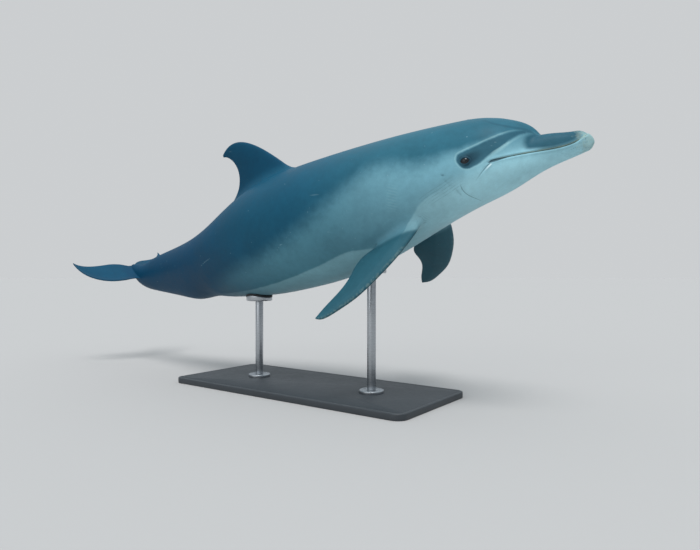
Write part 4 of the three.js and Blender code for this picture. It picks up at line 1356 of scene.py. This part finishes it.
    # painted shade in the neck's wrinkles, the gathers, the throat crease and the hollows
    lay("dark_line", 0.5, creases)
    mark_rows = nodes.wave(field("marks_along"), 1 / 11, 0.2)
    lay("rim", 0.16, band(field("marks"), 0.0, 8.0, 14.0), mark_rows, field("marks_mask"))
    rakes = nodes.speckle(nodes.stretched(place, (4, 40, 40), (0, 26, 8)), 0.9, 0.1)
    nicks = nodes.speckle(nodes.stretched(place, (9, 50, 50), (20, -48, 0)), 0.8, 0.1)
    scars = nodes.highest(product(nodes.highest(rakes, nicks), 0.4), step(field("scar"), 2.6, 0.8))
    lay("scar", 0.34, scars)
    lay("scar", 0.3, nodes.speckle(place, 34.0, 0.09))
    tone = product(step(cloud, 0.3, 0.7, 0.9, 1.1), step(fine_cloud, 0.3, 0.7, 0.96, 1.04))
    grey = nodes.add("ShaderNodeCombineColor", {0: tone, 1: tone, 2: tone}).outputs[0]
    nodes.feed(blend(1.0, base, grey, mode="MULTIPLY"), surface["Base Color"])

    rough = calc("ADD", step(cloud, 0.3, 0.7, 0.42, 0.54), product(scars, 0.12))
    nodes.feed(rough, surface["Roughness"])
    pores, ripple = nodes.noise(place, 900.0, 2.0), nodes.noise(place, 34.0)
    height = calc("ADD", product(pores, 0.12), product(ripple, 0.5))
    height = calc("SUBTRACT", calc("SUBTRACT", height, product(creases, 0.8)), product(scars, 0.1))
    nodes.feed(nodes.relief(height, 0.5, 0.0012), surface["Normal"])
    return material


add_piece(
    "skin", skin_mesh, "skin_flank", skin_material(),
    "beak_upper", "jaw_lower", "head", "neck", "chest", "abdomen", "tail_stock_front", "tail_stock_rear",
    "dorsal_fin", "flipper_right", "flipper_left", "fluke_right", "fluke_left",
)


# ---- Eyes ----


def surface_mesh(name, rows, first, last):
    """A mesh through closed loops of equally many points, shut at both ends by a single point."""
    count = len(rows[0])
    made = [p for row in rows for p in row]
    faces = []
    for i in range(len(rows) - 1):
        for j in range(count):
            a, b = i * count + j, i * count + (j + 1) % count
            faces.append((a, b, b + count, a + count))
    for start, pole in ((0, first), ((len(rows) - 1) * count, last)):
        made.append(pole)
        faces += [(start + j, start + (j + 1) % count, len(made) - 1) for j in range(count)]
    mesh = bpy.data.meshes.new(name)
    mesh.from_pydata([tuple(p) for p in made], [], faces)
    face_outwards(mesh)
    return mesh


PUPIL, IRIS = (5.2, 3.4), 9.5  # half length and half height of the pupil, radius of the iris, mm
EYE_RINGS = [4, 8, 12, 16, 20, 24, 28, 31, 34, 38, 44, 52, 62, 75, 90, 110, 130, 150, 168]  # degrees
EYE_COLUMNS, EYE_GAP, EYE_BULGE, BULGE_SPREAD = 48, 0.3, 0.5, 24  # gap and bulge mm, spread degrees
EYE_SHEEN = {"Specular IOR Level": 0.3, "Coat Weight": 0.35, "Coat Roughness": 0.05}


def eye_mesh(eye):
    """An eyeball with its pole at the middle of the lids' opening and a slight bulge over the iris."""
    rows = []
    around = np.linspace(0, 2 * np.pi, EYE_COLUMNS, endpoint=False)
    radius = EYE["radius"] - EYE_GAP
    for polar in np.radians(EYE_RINGS):
        bulged = radius + EYE_BULGE * math.exp(-((math.degrees(polar) / BULGE_SPREAD) ** 2))
        away = bulged * math.sin(polar)
        z = np.full(EYE_COLUMNS, bulged * math.cos(polar) - EYE["depth"])
        rows.append(eye.world(away * np.cos(around), away * np.sin(around), z))
    heights = np.array([radius + EYE_BULGE - EYE["depth"], -radius - EYE["depth"]])
    mesh = surface_mesh("eye", rows, *eye.world(np.zeros(2), np.zeros(2), heights))
    x, y, _ = eye.local(np.array([v.co for v in mesh.vertices]))
    add_field(mesh, "across", np.hypot(x, y))
    add_field(mesh, "pupil", np.hypot(x / PUPIL[0], y / PUPIL[1]))
    return mesh


def eye_material():
    material, nodes, surface = new_material("glass_eye", EYE_SHEEN)
    streaks = nodes.noise(nodes.place(), 900.0)
    iris = nodes.blend(nodes.step(streaks, 0.35, 0.7), colour(8, 13, 18), colour(16, 24, 30))
    across, pupil = nodes.field("across"), nodes.field("pupil")
    base = nodes.blend(nodes.step(across, IRIS - 0.6, IRIS + 0.8), iris, colour(26, 40, 48))
    base = nodes.blend(nodes.band(across, IRIS, 0.5, 1.4), base, colour(14, 14, 16))
    base = nodes.blend(nodes.step(pupil, 1.12, 0.92), base, colour(6, 9, 12))
    nodes.feed(base, surface["Base Color"])
    nodes.feed(nodes.step(streaks, 0.3, 0.7, 0.1, 0.16), surface["Roughness"])
    return material


glass = eye_material()
for name, side in (("eye_right", -1), ("eye_left", 1)):
    add_piece(name + "_glass", eye_mesh(eye_places[side]), "eye", glass, name)

# ---- Display stand, in metres ----

BASE_CORNER, BASE_EDGE = 0.040, 0.003
BASE_GROOVE = [(0.014, 0), (0.015, 0.0008), (0.0162, 0.0008), (0.0172, 0)]  # inset and depth
ROD_SPREAD, ROD_EDGE = 0.285, 0.0006
COLLAR_EDGE, COLLAR_ROUNDING = 0.0004, 0.003
SADDLE_RADIUS, SADDLE_COLUMNS, PAD_THICKNESS, PAD_CLEARANCE = 0.055, 72, 0.009, 0.0006
CUP_INSET, CUP_GAP = 0.0012, 0.0004  # of the steel round the pad, and under it
SCREWS = {"Count": 4, "Circle": 0.031, "Head": 0.0055}
SCREW_STAND = -0.0001  # of the screws' middle over the collar


def rounded_outline(half_x, half_y, corner, steps=10):
    """The corner-rounded outline of a rectangle about the middle of the floor."""
    outline = []
    for quarter, (x, y) in enumerate(((1, 1), (-1, 1), (-1, -1), (1, -1))):
        for k in range(steps + 1):
            a = math.pi / 2 * (quarter + k / steps)
            turn_x, turn_y = corner * math.cos(a), corner * math.sin(a)
            outline.append((x * (half_x - corner) + turn_x, y * (half_y - corner) + turn_y))
    return outline


def rounding(edge, *degrees):
    """How far a rounded edge lies in from the side and from the face, at each angle round it."""
    return [(edge * (1 - math.sin(a)), edge * (1 - math.cos(a))) for a in np.radians(degrees)]


def base_mesh():
    """A plate with rounded corners and softened edges, and a shallow groove inside its rim."""
    _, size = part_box("stand_base")
    height, edge = size.z, BASE_EDGE
    profile = [(edge, 0.0)] + rounding(edge, 22, 45, 68, 90) + [(0, height - edge)]  # inset and height
    profile += [(inset, height - drop) for drop, inset in rounding(edge, 22, 45, 68, 90)]
    profile += [(inset, height - depth) for inset, depth in BASE_GROOVE]
    rows = []
    for inset, z in profile:
        corner = max(BASE_CORNER - inset, 0.004)
        rows.append([(x, y, z) for x, y in rounded_outline(size.x - inset, size.y - inset, corner)])
    return surface_mesh("base", rows, (0, 0, 0), (0, 0, height))


def ring(x, radius, height, steps):
    """Points round an upright line; the height is a number, or is found for each place."""
    around = np.linspace(0, 2 * np.pi, steps, endpoint=False)
    spots = [(x + radius * math.cos(a), radius * math.sin(a)) for a in around]
    return [(px, py, height(px, py) if callable(height) else height) for px, py in spots]


def turned_piece(name, x, node, edge, upper_edge):
    """A round upright piece of a node's height and width, its lower and upper edges rounded."""
    low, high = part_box(node)
    radius = (high.x - low.x) / 2
    profile = [(radius * 0.5, low.z)]
    profile += [(radius - inset, low.z + rise) for inset, rise in rounding(edge, 0, 30, 60, 90)]
    profile += [(radius - inset, high.z - drop) for drop, inset in rounding(upper_edge, 0, 22, 45, 68, 90)]
    profile += [(radius * 0.5, high.z)]
    rows = [ring(x, ring_radius, z, 64) for ring_radius, z in profile]
    return surface_mesh(name, rows, (x, 0, low.z), (x, 0, high.z))


def stand_finish(name, cloud, tones, roughness, grain):
    """A plain finish of cloudy tone. cloud: scale and fineness; grain: scale, strength and depth."""
    material, nodes, surface = new_material(name)
    place = nodes.place()
    tone = nodes.cloud(place, *cloud)
    nodes.feed(nodes.blend(tone, *tones), surface["Base Color"])
    nodes.feed(nodes.step(tone, 0.3, 0.7, *roughness), surface["Roughness"])
    nodes.feed(nodes.relief(nodes.noise(place, grain[0], 2.0), *grain[1:]), surface["Normal"])
    return material


def brushed_steel():
    material, nodes, surface = new_material("brushed_steel", {"Metallic": 1.0})
    brushed = nodes.noise(nodes.stretched(nodes.place(), (1, 1, 60)), 25.0, 4.0, 0.7)
    nodes.feed(nodes.blend(brushed, colour(150, 155, 160), colour(196, 200, 204)), surface["Base Color"])
    nodes.feed(nodes.step(brushed, 0.3, 0.7, 0.24, 0.4), surface["Roughness"])
    nodes.feed(nodes.relief(brushed, 0.2, 0.0002), surface["Normal"])
    return material


tones = colour(40, 45, 50), colour(52, 58, 63)
satin = stand_finish("satin_paint", (6.0, 8.0), tones, (0.42, 0.55), (1500.0, 0.35, 0.0004))
tones = colour(22, 24, 26), colour(38, 41, 43)
rubber = stand_finish("black_rubber", (40.0, 6.0), tones, (0.62, 0.8), (2200.0, 0.4, 0.0003))
steel = brushed_steel()
skin_tree = BVHTree.FromPolygons([tuple(p) for p in points], quads.tolist() + triangles.tolist())


def belly_height(x, y):
    """Height of the skin above a point of the floor."""
    return skin_tree.ray_cast(Vector((x, y, 0)), Vector((0, 0, 1)))[0].z


def under_belly(x, rings):
    """Rings that lie below the skin: radius and depth of each."""
    return [
        ring(x, radius, lambda px, py, depth=depth: belly_height(px, py) - depth, SADDLE_COLUMNS)
        for radius, depth in rings
    ]


def saddle(name, x):
    """A steel cup with a rubber pad in it, both hollowed to the belly's shape."""
    node = "stand_saddle_" + name
    foot, middle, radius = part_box(node)[0].z, belly_height(x, 0), SADDLE_RADIUS
    clear, under = PAD_CLEARANCE, PAD_THICKNESS
    pad = under_belly(x, [
        (radius * 0.3, clear), (radius * 0.6, clear), (radius * 0.85, clear), (radius - 0.004, clear),
        (radius - 0.0018, clear + 0.0006), (radius - 0.0005, clear + 0.0018), (radius, clear + 0.0036),
        (radius, under), (radius * 0.85, under), (radius * 0.5, under),
    ])
    pad = surface_mesh("pad", pad, (x, 0, middle - clear), (x, 0, middle - under))
    add_piece("stand_pad_" + name, pad, "stand_pad", rubber, node)
    gap, rim = under + CUP_GAP, radius - CUP_INSET
    cup = under_belly(x, [(radius * 0.5, gap), (rim - 0.001, gap), (rim, gap + 0.001), (rim, gap + 0.0035)])
    lower = ((rim, 0.004), (rim - 0.001, 0.0012), (rim - 0.0035, 0), (rim * 0.5, 0))  # radius, height
    cup += [ring(x, ring_radius, foot + lift, SADDLE_COLUMNS) for ring_radius, lift in lower]
    cup = surface_mesh("cup", cup, (x, 0, middle - gap), (x, 0, foot))
    add_piece("stand_cup_" + name, cup, "stand_steel", steel)


def screw_tree():
    """Flush screw heads with a hexagon recess, on a circle."""
    sockets = [
        ("Count", "NodeSocketInt", 4), ("Circle", FLOAT, 0.031), ("Head", FLOAT, 0.0055),
        ("Material", "NodeSocketMaterial", None),
    ]
    geometry = ("Geometry", "NodeSocketGeometry")
    tree, nodes, given, out = new_group("screw_circle", sockets, geometry, "GeometryNodeTree")

    def made(kind, inputs, **settings):
        return nodes.add("GeometryNode" + kind, inputs, **settings).outputs[0]

    circle = made("MeshCircle", {"Vertices": given["Count"], "Radius": given["Circle"]})
    head = made("MeshCylinder", {"Vertices": 32, "Radius": given["Head"], "Depth": 0.0012})
    recess_radius = nodes.product(given["Head"], 0.5)
    recess = made("MeshCylinder", {"Vertices": 6, "Radius": recess_radius, "Depth": 0.0016})
    recess = made("Transform", {"Geometry": recess, "Translation": (0, 0, 0.0008)})
    screw = made("MeshBoolean", {"Mesh 1": head, "Mesh 2": recess}, operation="DIFFERENCE")
    screws = made("RealizeInstances", {0: made("InstanceOnPoints", {"Points": circle, "Instance": screw})})
    nodes.feed(made("SetMaterial", {"Geometry": screws, "Material": given["Material"]}), out)
    return tree


def screws(tree, x, top):
    """The collar's screws as a plain mesh, sunk almost flush with its top."""
    carrier = bpy.data.objects.new("carrier", bpy.data.meshes.new("carrier"))
    bpy.context.scene.collection.objects.link(carrier)
    modifier = carrier.modifiers.new("screws", "NODES")
    modifier.node_group = tree
    sockets = {item.name: item.identifier for item in tree.interface.items_tree if item.in_out == "INPUT"}
    for title, value in {**SCREWS, "Material": steel}.items():
        modifier[sockets[title]] = value
    bpy.context.view_layer.update()
    evaluated = carrier.evaluated_get(bpy.context.evaluated_depsgraph_get())
    mesh = bpy.data.meshes.new_from_object(evaluated)
    mesh.transform(Matrix.Translation((x, 0, top + SCREW_STAND)))
    bpy.data.objects.remove(carrier)
    return mesh


add_piece("stand_plate", base_mesh(), "stand_paint", satin, "stand_base")
screw_circle = screw_tree()
for name, x in (("front", ROD_SPREAD), ("rear", -ROD_SPREAD)):
    flange, rod = "stand_flange_" + name, "stand_rod_" + name
    collar = turned_piece("flange", x, flange, COLLAR_EDGE, COLLAR_ROUNDING)
    add_piece("stand_collar_" + name, collar, "stand_steel", steel, flange)
    heads = screws(screw_circle, x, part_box(flange)[1].z)
    add_piece("stand_screws_" + name, heads, "stand_steel", steel).data.shade_flat()
    post = turned_piece("rod", x, rod, ROD_EDGE, ROD_EDGE)
    add_piece("stand_post_" + name, post, "stand_steel", steel, rod)
    saddle(name, x)


# ---- Floor, lights and camera ----

FLOOR_SHEEN = {"Base Color": (0.446, 0.438, 0.434, 1), "Roughness": 1.0, "Specular IOR Level": 0.0}
FLOOR_TONE = (0.60, 0.618, 0.632, 1)  # what the paint looks like when lit
FLOOR_RADIUS, FLOOR_SIDES = 90.0, 96
LIGHT_LOW, LIGHT_OVERHEAD = (0.27, 0.3, 0.33, 1), (0.94, 1.03, 1.08, 1)
# For each lamp: the way from the model to it, its strength, and degrees that it spreads over.
LAMPS = {"key": ((0.4, -0.5, 1.3), 2.0, 28), "fill": ((-0.1, -1.0, 0.1), 0.75, 60)}
CAMERA_PLACE = (1.443, -1.711, 0.447)
CAMERA_AZIMUTH = 36.25  # degrees that the level line of sight turns from +Y towards -X
SENSOR_WIDTH, FOCAL_LENGTH = 36.0, 29.31  # mm


def into_scene(name, data):
    thing = bpy.data.objects.new(name, data)
    bpy.context.scene.collection.objects.link(thing)
    return thing


floor_mesh = bpy.data.meshes.new("floor")
floor_mesh.from_pydata(ring(0, FLOOR_RADIUS, 0, FLOOR_SIDES), [], [tuple(range(FLOOR_SIDES))])
floor_mesh.materials.append(new_material("matt_floor", FLOOR_SHEEN)[0])
into_scene("floor", floor_mesh)

# Light from all round, strongest overhead; behind the model it looks like the floor.
world = bpy.data.worlds.new("studio")
bpy.context.scene.world = world
world.use_nodes = True
sky = Nodes(world.node_tree)
direction = sky.add("ShaderNodeSeparateXYZ", {0: sky.add("ShaderNodeTexCoord").outputs["Generated"]})
light = sky.blend(sky.step(direction.outputs["Z"], 0.0, 1.0), LIGHT_LOW, LIGHT_OVERHEAD)
seen = sky.add("ShaderNodeLightPath").outputs["Is Camera Ray"]
sky.feed(sky.blend(seen, light, FLOOR_TONE), world.node_tree.nodes["Background"].inputs["Color"])

for name, (towards, strength, spread) in LAMPS.items():
    lamp = bpy.data.lights.new(name, "SUN")
    lamp.energy, lamp.angle = strength, math.radians(spread)
    into_scene(name, lamp).rotation_euler = Vector(towards).to_track_quat("Z", "Y").to_euler()

camera_data = bpy.data.cameras.new("camera")
camera_data.sensor_width, camera_data.lens = SENSOR_WIDTH, FOCAL_LENGTH
camera = into_scene("camera", camera_data)
camera.location = CAMERA_PLACE
camera.rotation_euler = (math.radians(90), 0, math.radians(CAMERA_AZIMUTH))
bpy.context.scene.camera = camera
bpy.context.scene.view_settings.view_transform = "Standard"
